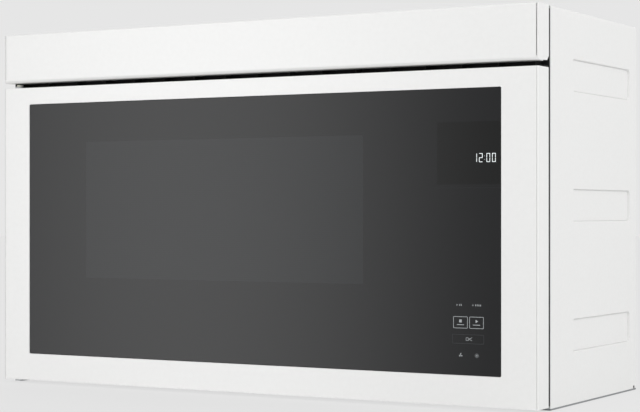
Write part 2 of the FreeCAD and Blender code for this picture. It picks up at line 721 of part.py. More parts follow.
def stirrer():
    """Turning antenna: slotted disc on a shaft that passes down through the waveguide."""
    low = WELL_BOTTOM + LINER_SHEET + STIRRER_LIFT
    high = low + STIRRER_THICK
    disc = slab("Z", polygon(STIRRER_X, STIRRER_Y, STIRRER_RADIUS, STIRRER_SIDES), (low, high))
    middle = FreeCAD.Vector(STIRRER_X, STIRRER_Y, 0)
    for index in range(STIRRER_SLOTS):
        reach = STIRRER_RADIUS * (0.82 if index % 2 else 0.7)
        slot_x = (STIRRER_X + STIRRER_RADIUS / 3, STIRRER_X + reach)
        slot = box(slot_x, about(STIRRER_Y, STIRRER_SLOT_WIDTH), (low, high))
        slot.rotate(middle, FreeCAD.Vector(0, 0, 1), 360.0 * index / STIRRER_SLOTS)
        disc = disc.cut(slot)
    shaft_z = (WAVEGUIDE_BOTTOM - STIRRER_SHAFT, high + STIRRER_SHAFT)
    shaft = rod("Z", STIRRER_X, STIRRER_Y, STIRRER_SHAFT, shaft_z)
    return fused([disc, shaft])


def stirrer_motor():
    """Flat synchronous motor between the inner deck and the waveguide."""
    z = (DECK_TOP, WAVEGUIDE_BOTTOM)
    body = slab("Z", polygon(STIRRER_X, STIRRER_Y, MOTOR_RADIUS, MOTOR_SIDES), z)
    ear_x = about(STIRRER_X, 2 * (MOTOR_RADIUS + MOTOR_EAR))
    ears = box(ear_x, about(STIRRER_Y, MOTOR_EAR_WIDTH), (z[1] - MOTOR_EAR_THICK, z[1]))
    socket_z = (z[1] - STIRRER_SHAFT - LATCH_CLEAR, z[1])
    socket = rod("Z", STIRRER_X, STIRRER_Y, STIRRER_SHAFT + HINGE_RUN, socket_z)
    return fused([body, ears]).cut(socket)


# ---- Decks and duct ----
def duct_x():
    """Inner width of the side duct, clear of the pressed recesses and the liner's flange."""
    wall = LEFT + WRAP_SHEET + PRESS_DEPTH
    return (wall + WRAP_SHEET, CAVITY_X[0] - LINER_FLANGE - 2 * WRAP_SHEET)


def duct_y():
    return (FRAME_BACK + DUCT_FROM_FRAME, CAVITY_Y[1] - DUCT_FROM_BACK)


def deck(low):
    """Sheet across the housing, with a hole for the side air duct."""
    room = WRAP_SHEET + PRESS_DEPTH + WRAP_SHEET
    x = (LEFT + room, RIGHT - room)
    y = (FRAME_BACK, REAR - room)
    plate = box(x, y, (low, low + DECK_SHEET))
    front_flange = box(x, (y[0], y[0] + DECK_SHEET), (low, low + DECK_SHEET + DECK_FLANGE))
    return fused([plate, front_flange]).cut(box(duct_x(), duct_y(), (low, low + DECK_SHEET)))


def inner_deck():
    return deck(INTAKE_HEIGHT)


def blower_deck():
    return deck(BLOWER_DECK_Z)


def air_duct():
    """Sheet duct that carries the intake air up the left side to the blower."""
    z = (DECK_TOP, BLOWER_DECK_Z)
    return box(grown(duct_x(), WRAP_SHEET), grown(duct_y(), WRAP_SHEET), z).cut(box(duct_x(), duct_y(), z))


# ---- Fascia ----
def fascia_corners(inset, lower_back, back):
    """Side section of the fascia, from its top rear corner round to the corners of its lower back."""
    front = FRONT + inset
    low = FASCIA_BOTTOM + inset
    top = HEIGHT - inset
    corners = [(back, top), (front, top, FASCIA_TOP_ROUND - inset), (front, low, FASCIA_LOWER_ROUND - inset)]
    return corners + lower_back


def vent_fascia():
    """Formed channel across the top, open at the back, with a short lower return."""
    x = (LEFT + CAP_THICK, RIGHT - CAP_THICK)
    lip = FRONT + FASCIA_LIP
    outside = slab("X", fascia_corners(0.0, [(lip, FASCIA_BOTTOM)], lip), x)
    inside = slab("X", fascia_corners(FASCIA_SHEET, [(lip, FASCIA_BOTTOM + FASCIA_SHEET)], lip), x)
    roof = slab("X", rectangle((lip, DOOR_BACK), (HEIGHT - FASCIA_SHEET, HEIGHT)), x)
    return fused([outside.cut(inside), roof])


def fascia_end_caps():
    """Two plates that close the ends of the fascia."""
    lower_back = [(DOOR_BACK - FASCIA_CHAMFER, FASCIA_BOTTOM), (DOOR_BACK, FASCIA_BOTTOM + FASCIA_CHAMFER)]
    corners = fascia_corners(0.0, lower_back, DOOR_BACK)
    ends = ((LEFT, LEFT + CAP_THICK), (RIGHT - CAP_THICK, RIGHT))
    return group([slab("X", corners, x) for x in ends])


def fascia_brackets():
    """Angles that carry the fascia across the shadow gap."""
    top = HEIGHT - FASCIA_SHEET
    low = top - FASCIA_BRACKET_DROP
    front = FRONT + FASCIA_LIP
    corners = [(front, top), (BODY_FRONT, top), (BODY_FRONT, low), (BODY_FRONT - DECK_SHEET, low)]
    corners += [(BODY_FRONT - DECK_SHEET, top - DECK_SHEET), (front, top - DECK_SHEET)]
    places = [about(index * FASCIA_BRACKET_PITCH, FASCIA_BRACKET_WIDTH) for index in (-1, 0, 1)]
    return [slab("X", corners, x) for x in places]


def vent_louver():
    """Trough with upright vanes that turns the air from the fascia out through the slot."""
    end = CAP_THICK + LATCH_CLEAR
    x = (LEFT + end, RIGHT - end)
    y = (BODY_FRONT - LOUVER_DEPTH, BODY_FRONT)
    low = DOOR_TOP + LOUVER_CLEAR
    high = FASCIA_BOTTOM + LOUVER_RISE
    section = [(y[0], low), (y[1], low), (y[1], high), (y[1] - LOUVER_WALL, high)]
    section += [(y[1] - LOUVER_WALL, low + LOUVER_WALL), (y[0], low + LOUVER_WALL)]
    trough = slab("X", section, x)
    vane = [(y[0], low), (y[1], low), (y[1], high), (y[1] - LOUVER_DEPTH / 2, high), (y[0], FASCIA_BOTTOM)]
    count = int((x[1] - x[0] - VANE_THICK) / VANE_PITCH)
    pieces = [trough]
    for index in range(count + 1):
        middle = (index - count / 2) * VANE_PITCH
        pieces.append(slab("X", vane, about(middle, VANE_THICK)))
    louver = fused(pieces)
    tongue_z = grown((upper_tongue_z(), upper_tongue_z() + TONGUE_THICK), HINGE_CLEAR)
    notch = box(grown(about(PIN_X, TONGUE_WIDTH), HINGE_CLEAR * 2), y, (low, tongue_z[1]))
    return louver.cut(notch)


# ---- Hinges ----
def upper_tongue_z():
    return DOOR_TOP + BUSH_FLANGE + HINGE_CLEAR


def lower_tongue_z():
    return DOOR_LIFT - BUSH_FLANGE - HINGE_CLEAR - TONGUE_THICK


def hinge_bracket(tongue_z, pin_z):
    """Angle behind the front frame whose tongue reaches out over the door and holds the pin."""
    tongue_x = about(PIN_X, TONGUE_WIDTH)
    nose = PIN_Y - TONGUE_NOSE
    back = FRAME_BACK + TONGUE_THICK
    cut = TONGUE_CORNER
    corners = [(tongue_x[0] + cut, nose), (tongue_x[1] - cut, nose), (tongue_x[1], nose + cut)]
    corners += [(tongue_x[1], back), (tongue_x[0], back), (tongue_x[0], nose + cut)]
    tongue = slab("Z", corners, (tongue_z, tongue_z + TONGUE_THICK))
    plate_x = (tongue_x[0], tongue_x[0] + HINGE_PLATE_WIDTH)
    plate = box(plate_x, (FRAME_BACK, back), (tongue_z, tongue_z + HINGE_PLATE_HEIGHT))
    pin = rod("Z", PIN_X, PIN_Y, PIN_RADIUS, pin_z)
    return fused([tongue, plate, pin])


def hinge_brackets():
    """Upper bracket, whose pin points down into the door, and the lower one, whose pin points up."""
    high = upper_tongue_z()
    low = lower_tongue_z()
    upper = hinge_bracket(high, (high - PIN_LENGTH, high + TONGUE_THICK))
    return group([upper, hinge_bracket(low, (low, low + TONGUE_THICK + PIN_LENGTH))])


def hinge_blocks():
    """Reinforcements in the door's hinged corners, with square holes for the bushes."""
    x = (LEFT + DOOR_SHEET, LEFT + DOOR_SHEET + HINGE_BLOCK_LENGTH)
    y = (FRONT + DOOR_FRONT_ROUND, FRONT + DOOR_FRONT_ROUND + HINGE_BLOCK_DEPTH)
    blocks = [box(x, y, z).cut(slab("Z", bush_outline(BUSH_SHANK), z)) for z in hinge_block_spans()]
    return group(blocks)


def hinge_block_spans():
    low = DOOR_LIFT + DOOR_SHEET
    high = DOOR_TOP - DOOR_SHEET
    return ((low, low + HINGE_BLOCK_HEIGHT), (high - HINGE_BLOCK_HEIGHT, high))


def bush_outline(width):
    return rectangle(about(PIN_X, width), about(PIN_Y, width))


def hinge_bushes():
    """Flanged bushes with square shanks, pressed into the door from below and above."""
    lower, upper = hinge_block_spans()
    bushes = []
    for flange, end in ((DOOR_LIFT - BUSH_FLANGE, lower[1]), (DOOR_TOP + BUSH_FLANGE, upper[0])):
        z = (min(flange, end), max(flange, end))
        inward = BUSH_FLANGE if flange < end else -BUSH_FLANGE
        rim_z = (min(flange, flange + inward), max(flange, flange + inward))
        shank = slab("Z", bush_outline(BUSH_SHANK), z)
        rim = slab("Z", bush_outline(BUSH_RIM), rim_z)
        bushes.append(fused([shank, rim]).cut(rod("Z", PIN_X, PIN_Y, PIN_RADIUS + HINGE_RUN, z)))
    return group(bushes)


# ---- Door ----
def door_block():
    """Outer form of the door with rounded edges."""
    z = (DOOR_LIFT, DOOR_TOP)
    side = [(FRONT, z[0], DOOR_FRONT_ROUND), (DOOR_BACK, z[0], DOOR_REAR_ROUND)]
    side += [(DOOR_BACK, z[1], DOOR_REAR_ROUND), (FRONT, z[1], DOOR_FRONT_ROUND)]
    plan = [(LEFT, FRONT, DOOR_FRONT_ROUND), (RIGHT, FRONT, DOOR_FRONT_ROUND)]
    plan += [(RIGHT, DOOR_BACK, DOOR_REAR_ROUND), (LEFT, DOOR_BACK, DOOR_HINGE_ROUND)]
    return slab("X", side, (LEFT, RIGHT)).common(slab("Z", plan, z))


def door_room():
    """Space inside the door's sheet, with straight cuts where the outside is round."""
    y = (FRONT + DOOR_SHEET, DOOR_BACK - DOOR_SHEET)
    x = (LEFT + DOOR_SHEET, RIGHT - DOOR_SHEET)
    hinge = (DOOR_HINGE_ROUND - DOOR_SHEET) * BEND_CUT
    rear = (DOOR_REAR_ROUND - DOOR_SHEET) * BEND_CUT
    z = (DOOR_LIFT + DOOR_SHEET, DOOR_TOP - DOOR_SHEET)
    plan = [(x[0], y[0]), (x[1], y[0]), (x[1], y[1] - rear), (x[1] - rear, y[1]), (x[0] + hinge, y[1])]
    plan.append((x[0], y[1] - hinge))
    side = [(y[0], z[0]), (y[1] - rear, z[0]), (y[1], z[0] + rear)]
    side += [(y[1], z[1] - rear), (y[1] - rear, z[1]), (y[0], z[1])]
    return slab("Z", plan, z).common(slab("X", side, x))


def door_rear_opening():
    x = (LEFT + DOOR_HINGE_ROUND, RIGHT - DOOR_REAR_ROUND)
    return rectangle(x, (DOOR_LIFT + DOOR_REAR_ROUND, DOOR_TOP - DOOR_REAR_ROUND))


def door_frame():
    """Formed door skin with a rebate for the glass and holes for the hinge bushes."""
    shell = door_block().cut(door_room())
    shell = shell.cut(slab("Y", door_rear_opening(), (DOOR_BACK - DOOR_SHEET, DOOR_BACK)))
    hole_x = grown(GLASS_X, GLASS_CLEAR)
    hole_z = grown(GLASS_Z, GLASS_CLEAR)
    back = GLASS_BACK + DOOR_SHEET
    ledge = rectangle(grown(GLASS_X, -REBATE), grown(GLASS_Z, -REBATE))
    rebate = rectangle(grown(hole_x, DOOR_SHEET), grown(hole_z, DOOR_SHEET))
    shell = shell.fuse(slab("Y", rebate, (FRONT + DOOR_SHEET, back)))
    shell = shell.cut(slab("Y", trimmed(hole_x, hole_z, GLASS_CORNER), (FRONT, GLASS_BACK)))
    shell = shell.cut(slab("Y", ledge, (GLASS_BACK, back)))
    for z in ((DOOR_LIFT, DOOR_LIFT + DOOR_SHEET), (DOOR_TOP - DOOR_SHEET, DOOR_TOP)):
        shell = shell.cut(slab("Z", bush_outline(BUSH_SHANK), z))
    return shell


def door_glass():
    return slab("Y", trimmed(GLASS_X, GLASS_Z, GLASS_CORNER), (FRONT + GLASS_SET, GLASS_BACK))


def plateau(margin):
    """Corners of the raised sealing face round the cavity's opening."""
    return trimmed(grown(CAVITY_X, margin), grown(OPENING_Z, margin), CAVITY_CORNER)


def opening(margin):
    """Corners of the cavity's opening, grown by a margin."""
    return rectangle(grown(CAVITY_X, margin), grown(OPENING_Z, margin))


def window(margin):
    """Corners of the door's window, grown by a margin."""
    x = grown(CAVITY_X, margin - WINDOW_SIDE)
    z = grown(OPENING_Z, margin - WINDOW_ABOVE)
    return trimmed(x, z, WINDOW_CORNER)


def ring(outer, inner, y):
    return slab("Y", outer, y).cut(slab("Y", inner, y))


def door_inner_pan():
    """Pressed pan: flange, raised sealing face, choke channel and recess for the inner glass."""
    sheet = PAN_SHEET
    flange_y = (DOOR_BACK - sheet, DOOR_BACK)
    rise_y = (DOOR_BACK - sheet, SEAL_FACE)
    face_y = (SEAL_FACE - sheet, SEAL_FACE)
    choke_y = (SEAL_FACE - CHOKE_DEEP - sheet, SEAL_FACE - CHOKE_DEEP)
    wall_y = (choke_y[0], SEAL_FACE)
    ledge_y = (SEAL_FACE - INNER_GLASS - sheet, SEAL_FACE - INNER_GLASS)
    steps = [ring(door_rear_opening(), plateau(PLATEAU_MARGIN - sheet), flange_y)]
    steps.append(ring(plateau(PLATEAU_MARGIN), plateau(PLATEAU_MARGIN - sheet), rise_y))
    steps.append(ring(plateau(PLATEAU_MARGIN), opening(CHOKE_OUT), face_y))
    steps.append(ring(opening(CHOKE_OUT + sheet), opening(CHOKE_OUT), wall_y))
    steps.append(ring(opening(CHOKE_OUT + sheet), opening(CHOKE_IN - sheet), choke_y))
    steps.append(ring(opening(CHOKE_IN), opening(CHOKE_IN - sheet), wall_y))
    steps.append(ring(opening(CHOKE_IN), window(INNER_LAP), face_y))
    steps.append(ring(window(INNER_LAP + sheet), window(INNER_LAP), (ledge_y[0], SEAL_FACE)))
    steps.append(ring(window(INNER_LAP + sheet), window(0.0), ledge_y))
    pan = fused(steps)
    for z in (HOOK_LOW_Z, HOOK_HIGH_Z):
        pan = pan.cut(hook_slot(z, flange_y))
    return pan


def choke_cover():
    """Plastic ring that closes the choke channel, with a lip down each side."""
    clear = LATCH_CLEAR
    outer = CHOKE_OUT - clear
    inner = CHOKE_IN + clear
    lip_y = (SEAL_FACE - CHOKE_LIP, SEAL_FACE)
    pieces = [ring(opening(outer), opening(inner), (SEAL_FACE - CHOKE_COVER, SEAL_FACE))]
    pieces.append(ring(opening(outer), opening(outer - CHOKE_COVER), lip_y))
    pieces.append(ring(opening(inner + CHOKE_COVER), opening(inner), lip_y))
    return fused(pieces)


def inner_glass():
    return slab("Y", window(INNER_LAP - GLASS_CLEAR), (SEAL_FACE - INNER_GLASS, SEAL_FACE))


def window_screen():
    """Perforated sheet behind the window. Its holes are too fine to draw here."""
    back = SEAL_FACE - INNER_GLASS - PAN_SHEET
    return slab("Y", window(INNER_LAP), (back - SCREEN_SHEET, back))


def display_spans():
    right = GLASS_X[1] - REBATE - TOUCH_MARGIN
    top = GLASS_Z[1] - DISPLAY_FROM_TOP
    return ((right - DISPLAY_WIDTH, right), (top - DISPLAY_HEIGHT, top))


def touch_board():
    """Board behind the glass with the touch keys, cut out round the display."""
    right = GLASS_X[1] - REBATE - TOUCH_MARGIN
    z = (GLASS_Z[0] + REBATE + TOUCH_BOTTOM, display_spans()[1][1] + BOARD_STANDOFF)
    span = (GLASS_BACK, GLASS_BACK + BOARD_THICK)
    board = slab("Y", rectangle((right - TOUCH_WIDTH, right), z), span)
    return board.cut(slab("Y", rectangle(*display_spans()), span))


def display_module():
    return slab("Y", rectangle(*display_spans()), (GLASS_BACK, GLASS_BACK + DISPLAY_THICK))


def door_bumpers():
    """Two rubber stops at the door's free edge."""
    right = RIGHT - DOOR_REAR_ROUND - BUMPER_INSET
    low = DOOR_LIFT + DOOR_REAR_ROUND + BUMPER_INSET
    high = DOOR_TOP - DOOR_REAR_ROUND - BUMPER_INSET
    y = (DOOR_BACK, BODY_FRONT - BUMPER_CLEAR)
    stops = []
    for z in (low, high):
        outline = trimmed(about(right, BUMPER_SIZE), about(z, BUMPER_SIZE), BUMPER_CORNER)
        stops.append(slab("Y", outline, y))
    return group(stops)


# ---- Latch ----
def hook_corners(z, root):
    """Side outline of one hook, from its root on the bar, back under the nose."""
    low = z - HOOK_HEIGHT / 2
    high = z + HOOK_HEIGHT / 2
    nose_back = HOOK_END - NOSE_FROM_END
    nose_front = nose_back - NOSE_LENGTH
    corners = [(root, low), (nose_front, low), (nose_front, low - NOSE_DROP), (nose_back, low - NOSE_DROP)]
    corners += [(HOOK_END, low + HOOK_CORNER / 2), (HOOK_END, high - HOOK_CORNER)]
    return corners + [(HOOK_END - HOOK_CORNER, high), (root, high)]


def latch_key():
    """Flat key in the door: a bar with an upper and a lower hook, cut from one profile."""
    back = DOOR_BACK - PAN_SHEET - LATCH_CLEAR
    front = back - LATCH_BAR
    low = HOOK_LOW_Z - LATCH_BAR_END
    high = HOOK_HIGH_Z + LATCH_BAR_END
    corners = [(front, high, HOOK_CORNER), (front, low, HOOK_CORNER), (back, low)]
    corners += hook_corners(HOOK_LOW_Z, back)
    corners += hook_corners(HOOK_HIGH_Z, back)
    corners += [(back, high)]
    return slab("X", corners, about(LATCH_X, LATCH_THICK))


def spring_bottom():
    return HOOK_LOW_Z - LATCH_BAR_END - SPRING_LENGTH


def latch_spring():
    """Flat serpentine spring that draws the latch key down, on the key's lower end."""
    y = DOOR_BACK - PAN_SHEET - LATCH_CLEAR - LATCH_BAR / 2
    reach = (SPRING_WIDTH - SPRING_STRIP) / 2
    pitch = SPRING_LENGTH / (2 * SPRING_TURNS)
    path = [(y + (reach if index % 2 else -reach), spring_bottom() + index * pitch)
            for index in range(2 * SPRING_TURNS + 1)]
    front = [(u - SPRING_STRIP / 2, v) for u, v in path]
    back = [(u + SPRING_STRIP / 2, v) for u, v in path]
    return slab("X", front + back[::-1], about(LATCH_X, LATCH_THICK / 2))


def latch_board():
    """Moulded carrier behind the front frame: slotted plate, side wall and the lever's pin."""
    plate_x = (LATCH_X - LATCH_THICK, LATCH_X - LATCH_THICK + LATCH_BOARD_WIDTH)
    z = (PIVOT_Z - PIVOT_BOSS * 2, HOOK_HIGH_Z + LATCH_BAR_END)
    plate_y = (FRAME_BACK, FRAME_BACK + LATCH_BOARD_THICK)
    plate = box(plate_x, plate_y, z)
    for hook_z in (HOOK_LOW_Z, HOOK_HIGH_Z):
        plate = plate.cut(hook_slot(hook_z, plate_y))
    back = plate_y[1] + LATCH_WALL_DEPTH
    solenoid_y = about(SOLENOID_Y, SOLENOID_DEPTH)
    low = SOLENOID_TOP - SOLENOID_HEIGHT
    step = solenoid_y[0] - SOLENOID_STEP
    corners = [(plate_y[0], z[0]), (step, z[0]), (step, low), (solenoid_y[1], low)]
    corners += [(solenoid_y[1], PIVOT_Z + PIVOT_BOSS), (back, PIVOT_Z + PIVOT_BOSS * 2), (back, z[1])]
    corners += [(plate_y[0], z[1])]
    wall = slab("X", corners, (LATCH_WALL_X, LATCH_WALL_X + LATCH_WALL))
    pin = rod("X", PIVOT_Y, PIVOT_Z, PIVOT_RADIUS, (LATCH_X - LEVER_THICK / 2, LATCH_WALL_X))
    boss_x = (LATCH_X + LEVER_THICK / 2 + LATCH_CLEAR, LATCH_WALL_X)
    boss = slab("X", polygon(PIVOT_Y, PIVOT_Z, PIVOT_BOSS, 8), boss_x)
    return fused([plate, wall, pin, boss])


def switch_front():
    return HOOK_END + LATCH_CLEAR + PLUNGER_PROUD


def interlock_switches():
    """Switch behind each hook, with a square hole for its plunger."""
    front = switch_front()
    hole = PLUNGER_SIZE + 2 * PLUNGER_RUN
    switches = []
    for z in (HOOK_LOW_Z, HOOK_HIGH_Z):
        x = (LATCH_WALL_X - SWITCH_THICK, LATCH_WALL_X)
        case = box(x, (front, front + SWITCH_DEPTH), about(z, SWITCH_HEIGHT))
        switches.append(case.cut(box(about(LATCH_X, hole), (front, front + PLUNGER_LENGTH), about(z, hole))))
    return group(switches)


def switch_plungers():
    y = (HOOK_END + LATCH_CLEAR, HOOK_END + LATCH_CLEAR + PLUNGER_LENGTH)
    places = (HOOK_LOW_Z, HOOK_HIGH_Z)
    return group([box(about(LATCH_X, PLUNGER_SIZE), y, about(z, PLUNGER_SIZE)) for z in places])


def opener_lever():
    """Cranked lever: a finger under the lower hook's nose, a pivot and a tail in the plunger."""
    top = PIVOT_Z + LEVER_DROP
    finger = PIVOT_Y - LEVER_ARM
    half = LEVER_HEIGHT / 2
    eye = PIVOT_BOSS
    tail = TAIL_THICK / 2
    end = SOLENOID_Y + SOLENOID_ROD + TAIL_PAST_ROD
    corners = [(finger - FINGER_LENGTH / 2, PIVOT_Z - half), (PIVOT_Y - eye, PIVOT_Z - half)]
    corners += [(PIVOT_Y - half, PIVOT_Z - eye), (PIVOT_Y + half, PIVOT_Z - eye)]
    corners += [(PIVOT_Y + eye, PIVOT_Z - tail), (end, PIVOT_Z - tail)]
    corners += [(end, PIVOT_Z + tail), (PIVOT_Y + eye, PIVOT_Z + tail)]
    corners += [(PIVOT_Y + half, PIVOT_Z + eye), (PIVOT_Y - half, PIVOT_Z + eye)]
    corners += [(PIVOT_Y - eye, PIVOT_Z + half), (finger + FINGER_LENGTH / 2, PIVOT_Z + half)]
    corners += [(finger + FINGER_LENGTH / 2, top), (finger - FINGER_LENGTH / 2, top)]
    x = about(LATCH_X, LEVER_THICK)
    return slab("X", corners, x).cut(rod("X", PIVOT_Y, PIVOT_Z, PIVOT_RADIUS + HINGE_RUN, x))


def opener_solenoid():
    """Solenoid with an iron frame and a square hole for its plunger."""
    z = (SOLENOID_TOP - SOLENOID_HEIGHT, SOLENOID_TOP)
    x = (LATCH_WALL_X - SOLENOID_WIDTH, LATCH_WALL_X)
    hole = 2 * (SOLENOID_ROD + PLUNGER_RUN)
    frame = box(x, about(SOLENOID_Y, SOLENOID_DEPTH), z)
    return frame.cut(box(about(LATCH_X, hole), about(SOLENOID_Y, hole), (z[0] + SOLENOID_FLOOR, z[1])))


def solenoid_plunger():
    """Square plunger with a slotted head that takes the lever's tail."""
    head_z = about(PIVOT_Z, TAIL_THICK + PLUNGER_HEAD)
    head_y = about(SOLENOID_Y, SOLENOID_ROD * 2 + HEAD_PROUD)
    slot_x = about(LATCH_X, LEVER_THICK + HEAD_SLOT_ROOM)
    slot_z = about(PIVOT_Z, TAIL_THICK + PLUNGER_SLACK)
    head = box(grown(slot_x, HEAD_CHEEK), head_y, head_z).cut(box(slot_x, head_y, slot_z))
    stem_z = (SOLENOID_TOP - SOLENOID_HEIGHT / 2, head_z[0])
    stem = box(about(LATCH_X, 2 * SOLENOID_ROD), about(SOLENOID_Y, 2 * SOLENOID_ROD), stem_z)
    return fused([stem, head])


# ---- Microwave source ----
def magnetron_tube():
    """Anode with its magnet, the antenna that enters the waveguide and the fins pressed on it."""
    low = WELL_BOTTOM + YOKE_SHEET
    high = low + MAGNETRON_HEIGHT
    anode = rod("Z", MAGNETRON_X, STIRRER_Y, ANODE_RADIUS, (low, high - MAGNET_THICK))
    magnet = polygon(MAGNETRON_X, STIRRER_Y, MAGNET_RADIUS, WELL_SIDES)
    antenna = polygon(MAGNETRON_X, STIRRER_Y, ANTENNA_RADIUS, WELL_SIDES)
    pieces = [anode, slab("Z", magnet, (high - MAGNET_THICK, high))]
    pieces.append(slab("Z", antenna, (low - ANTENNA_LENGTH, low)))
    return group([fused(pieces)] + magnetron_fins((low, high - MAGNET_THICK)))


def magnetron_fins(span):
    """Stack of cooling plates with many-sided holes that grip the anode."""
    pitch = (span[1] - span[0]) / (FIN_COUNT + 1)
    x = about(MAGNETRON_X, MAGNETRON_WIDTH - 2 * YOKE_SHEET)
    y = about(STIRRER_Y, MAGNETRON_DEPTH - FIN_SHORTER)
    reach = ANODE_RADIUS / math.cos(math.pi / FIN_HOLE_SIDES)
    hole = polygon(MAGNETRON_X, STIRRER_Y, reach, FIN_HOLE_SIDES)
    fins = []
    for index in range(FIN_COUNT):
        z = about(span[0] + (index + 1) * pitch, FIN_SHEET)
        fins.append(slab("Z", rectangle(x, y), z).cut(slab("Z", hole, z)))
    return fins


def magnetron_yoke():
    """Steel frame round the fins, open to the fan, with the filter box on top."""
    low = WELL_BOTTOM
    high = low + MAGNETRON_HEIGHT + 2 * YOKE_SHEET
    x = about(MAGNETRON_X, MAGNETRON_WIDTH)
    y = about(STIRRER_Y, MAGNETRON_DEPTH)
    frame = box(x, y, (low, high)).cut(box(grown(x, -YOKE_SHEET), y, (low + YOKE_SHEET, high - YOKE_SHEET)))
    frame = frame.cut(slab("Z", antenna_hole(), (low, low + YOKE_SHEET)))
    lid_x = about(MAGNETRON_X, FILTER_BOX_WIDTH)
    lid_y = about(STIRRER_Y, FILTER_BOX_DEPTH)
    lid = slab("Z", trimmed(lid_x, lid_y, 3.0), (high, high + FILTER_BOX_HEIGHT))
    return fused([frame, lid])


def core_place():
    """Spans of the transformer's core on the inner deck, ahead of the rear panel."""
    x = about(MAGNETRON_X, CORE_WIDTH)
    rear = REAR - REAR_SHEET - PRESS_DEPTH - REAR_SHEET - COIL_PROUD
    return x, (rear - CORE_DEPTH, rear), (DECK_TOP, DECK_TOP + CORE_HEIGHT)


def transformer_core():
    """Laminated core with two windows beside the middle limb."""
    x, y, z = core_place()
    core = slab("Y", rectangle(x, z), y)
    for side in (-1, 1):
        inner = MAGNETRON_X + side * CORE_LIMB
        outer = MAGNETRON_X + side * (CORE_WIDTH / 2 - CORE_LIMB)
        span = (min(inner, outer), max(inner, outer))
        core = core.cut(slab("Y", rectangle(span, grown(z, -CORE_LIMB)), y))
    return core


def transformer_windings():
    """Primary and secondary coils round the middle limb, standing out at both ends."""
    y, z = core_place()[1:]
    height = (CORE_HEIGHT - 2 * CORE_LIMB - LATCH_CLEAR) / 2
    outer_x = about(MAGNETRON_X, CORE_WIDTH - 2 * CORE_LIMB)
    inner_x = about(MAGNETRON_X, 2 * CORE_LIMB)
    coils = []
    for index in range(2):
        low = z[0] + CORE_LIMB + index * (height + LATCH_CLEAR)
        outline = trimmed(outer_x, grown(y, COIL_PROUD), COIL_PROUD - COIL_FLAT)
        outer = slab("Z", outline, (low, low + height))
        coils.append(outer.cut(box(inner_x, y, (low, low + height))))
    return group(coils)


def capacitor_middle():
    wall = RIGHT - WRAP_SHEET - PRESS_DEPTH - WRAP_SHEET
    return wall - CAPACITOR_FROM_WALL - CAPACITOR_THICK / 2, BODY_FRONT + CAPACITOR_FROM_FRONT


def capacitor():
    """Oval can with two terminals."""
    x, y = capacitor_middle()
    can = rectangle(about(x, CAPACITOR_THICK), about(y, CAPACITOR_WIDTH), CAPACITOR_THICK / 2 - 0.1)
    top = DECK_TOP + CAPACITOR_HEIGHT
    pieces = [slab("Z", can, (DECK_TOP, top))]
    for side in (-1, 1):
        terminal_y = about(y + side * TERMINAL_FROM_MIDDLE, TERMINAL_THICK)
        pieces.append(box(about(x, TERMINAL_WIDTH), terminal_y, (top, top + TERMINAL_HEIGHT)))
    return fused(pieces)


def capacitor_clamp():
    """Spring arms on each side of the can, on a foot that is fixed to the inner deck."""
    x, y = capacitor_middle()
    arm_x = about(x, CAPACITOR_THICK)
    y = about(y, CAPACITOR_WIDTH / 2)
    z = (DECK_TOP, DECK_TOP + CLAMP_HEIGHT)
    arm = arm_x[0] - DECK_SHEET
    foot = arm_x[0] - CLAMP_FOOT
    corners = [(arm_x[0], z[1]), (arm, z[1]), (arm, z[0] + DECK_SHEET)]
    corners += [(foot, z[0] + DECK_SHEET), (foot, z[0]), (arm_x[0], z[0])]
    inner = slab("Y", corners, y)
    outer = box((arm_x[1], arm_x[1] + DECK_SHEET), y, z)
    return group([inner, outer])


def fan_shroud():
    """Upright air guide with a round hole for the fan and two arms for the motor."""
    y = (FAN_Y, FAN_Y + SHROUD_SHEET)
    bore = FAN_RADIUS + FAN_TIP_CLEAR
    x = about(MAGNETRON_X, SHROUD_WIDTH)
    plate = box(x, y, (DECK_TOP, FAN_Z + SHROUD_WIDTH / 2))
    plate = plate.cut(rod("Y", MAGNETRON_X, FAN_Z, bore, y))
    arm_y = (y[0], FAN_Y + FAN_DEPTH + FAN_MOTOR_GAP + FAN_MOTOR_DEPTH + SHROUD_SHEET)
    arm_z = about(FAN_Z, FAN_ARM_WIDTH)
    pieces = [plate]
    for side in (-1, 1):
        edge = MAGNETRON_X + side * (bore + SHROUD_SHEET)
        pieces.append(box(about(edge, SHROUD_SHEET), arm_y, arm_z))
    bridge_x = about(MAGNETRON_X, 2 * (bore + SHROUD_SHEET))
    pieces.append(box(bridge_x, (arm_y[1] - SHROUD_SHEET, arm_y[1]), arm_z))
    return fused(pieces)


def fan_blade(angle):
    """One flat blade set at a slant."""
    blade = box(about(0.0, FAN_CHORD), about(0.0, FAN_BLADE_THICK), (FAN_HUB - 3.0, FAN_RADIUS - 2.0))
    blade.rotate(FreeCAD.Vector(0, 0, 0), FreeCAD.Vector(0, 0, 1), FAN_SLANT)
    blade.translate(FreeCAD.Vector(MAGNETRON_X, FAN_Y + FAN_DEPTH / 2, FAN_Z))
    blade.rotate(FreeCAD.Vector(MAGNETRON_X, 0, FAN_Z), FreeCAD.Vector(0, 1, 0), angle)
    return blade


def fan_wheel():
    """Five-bladed axial fan on the motor's shaft."""
    y = (FAN_Y, FAN_Y + FAN_DEPTH)
    blades = [fan_blade(360.0 * index / FAN_BLADES) for index in range(FAN_BLADES)]
    hub = slab("Y", polygon(MAGNETRON_X, FAN_Z, FAN_HUB, FAN_BLADES * 4), y)
    shaft = rod("Y", MAGNETRON_X, FAN_Z, FAN_SHAFT, (FAN_Y, y[1] + FAN_MOTOR_GAP + FAN_SHAFT_IN))
    return fused(blades + [hub, shaft])


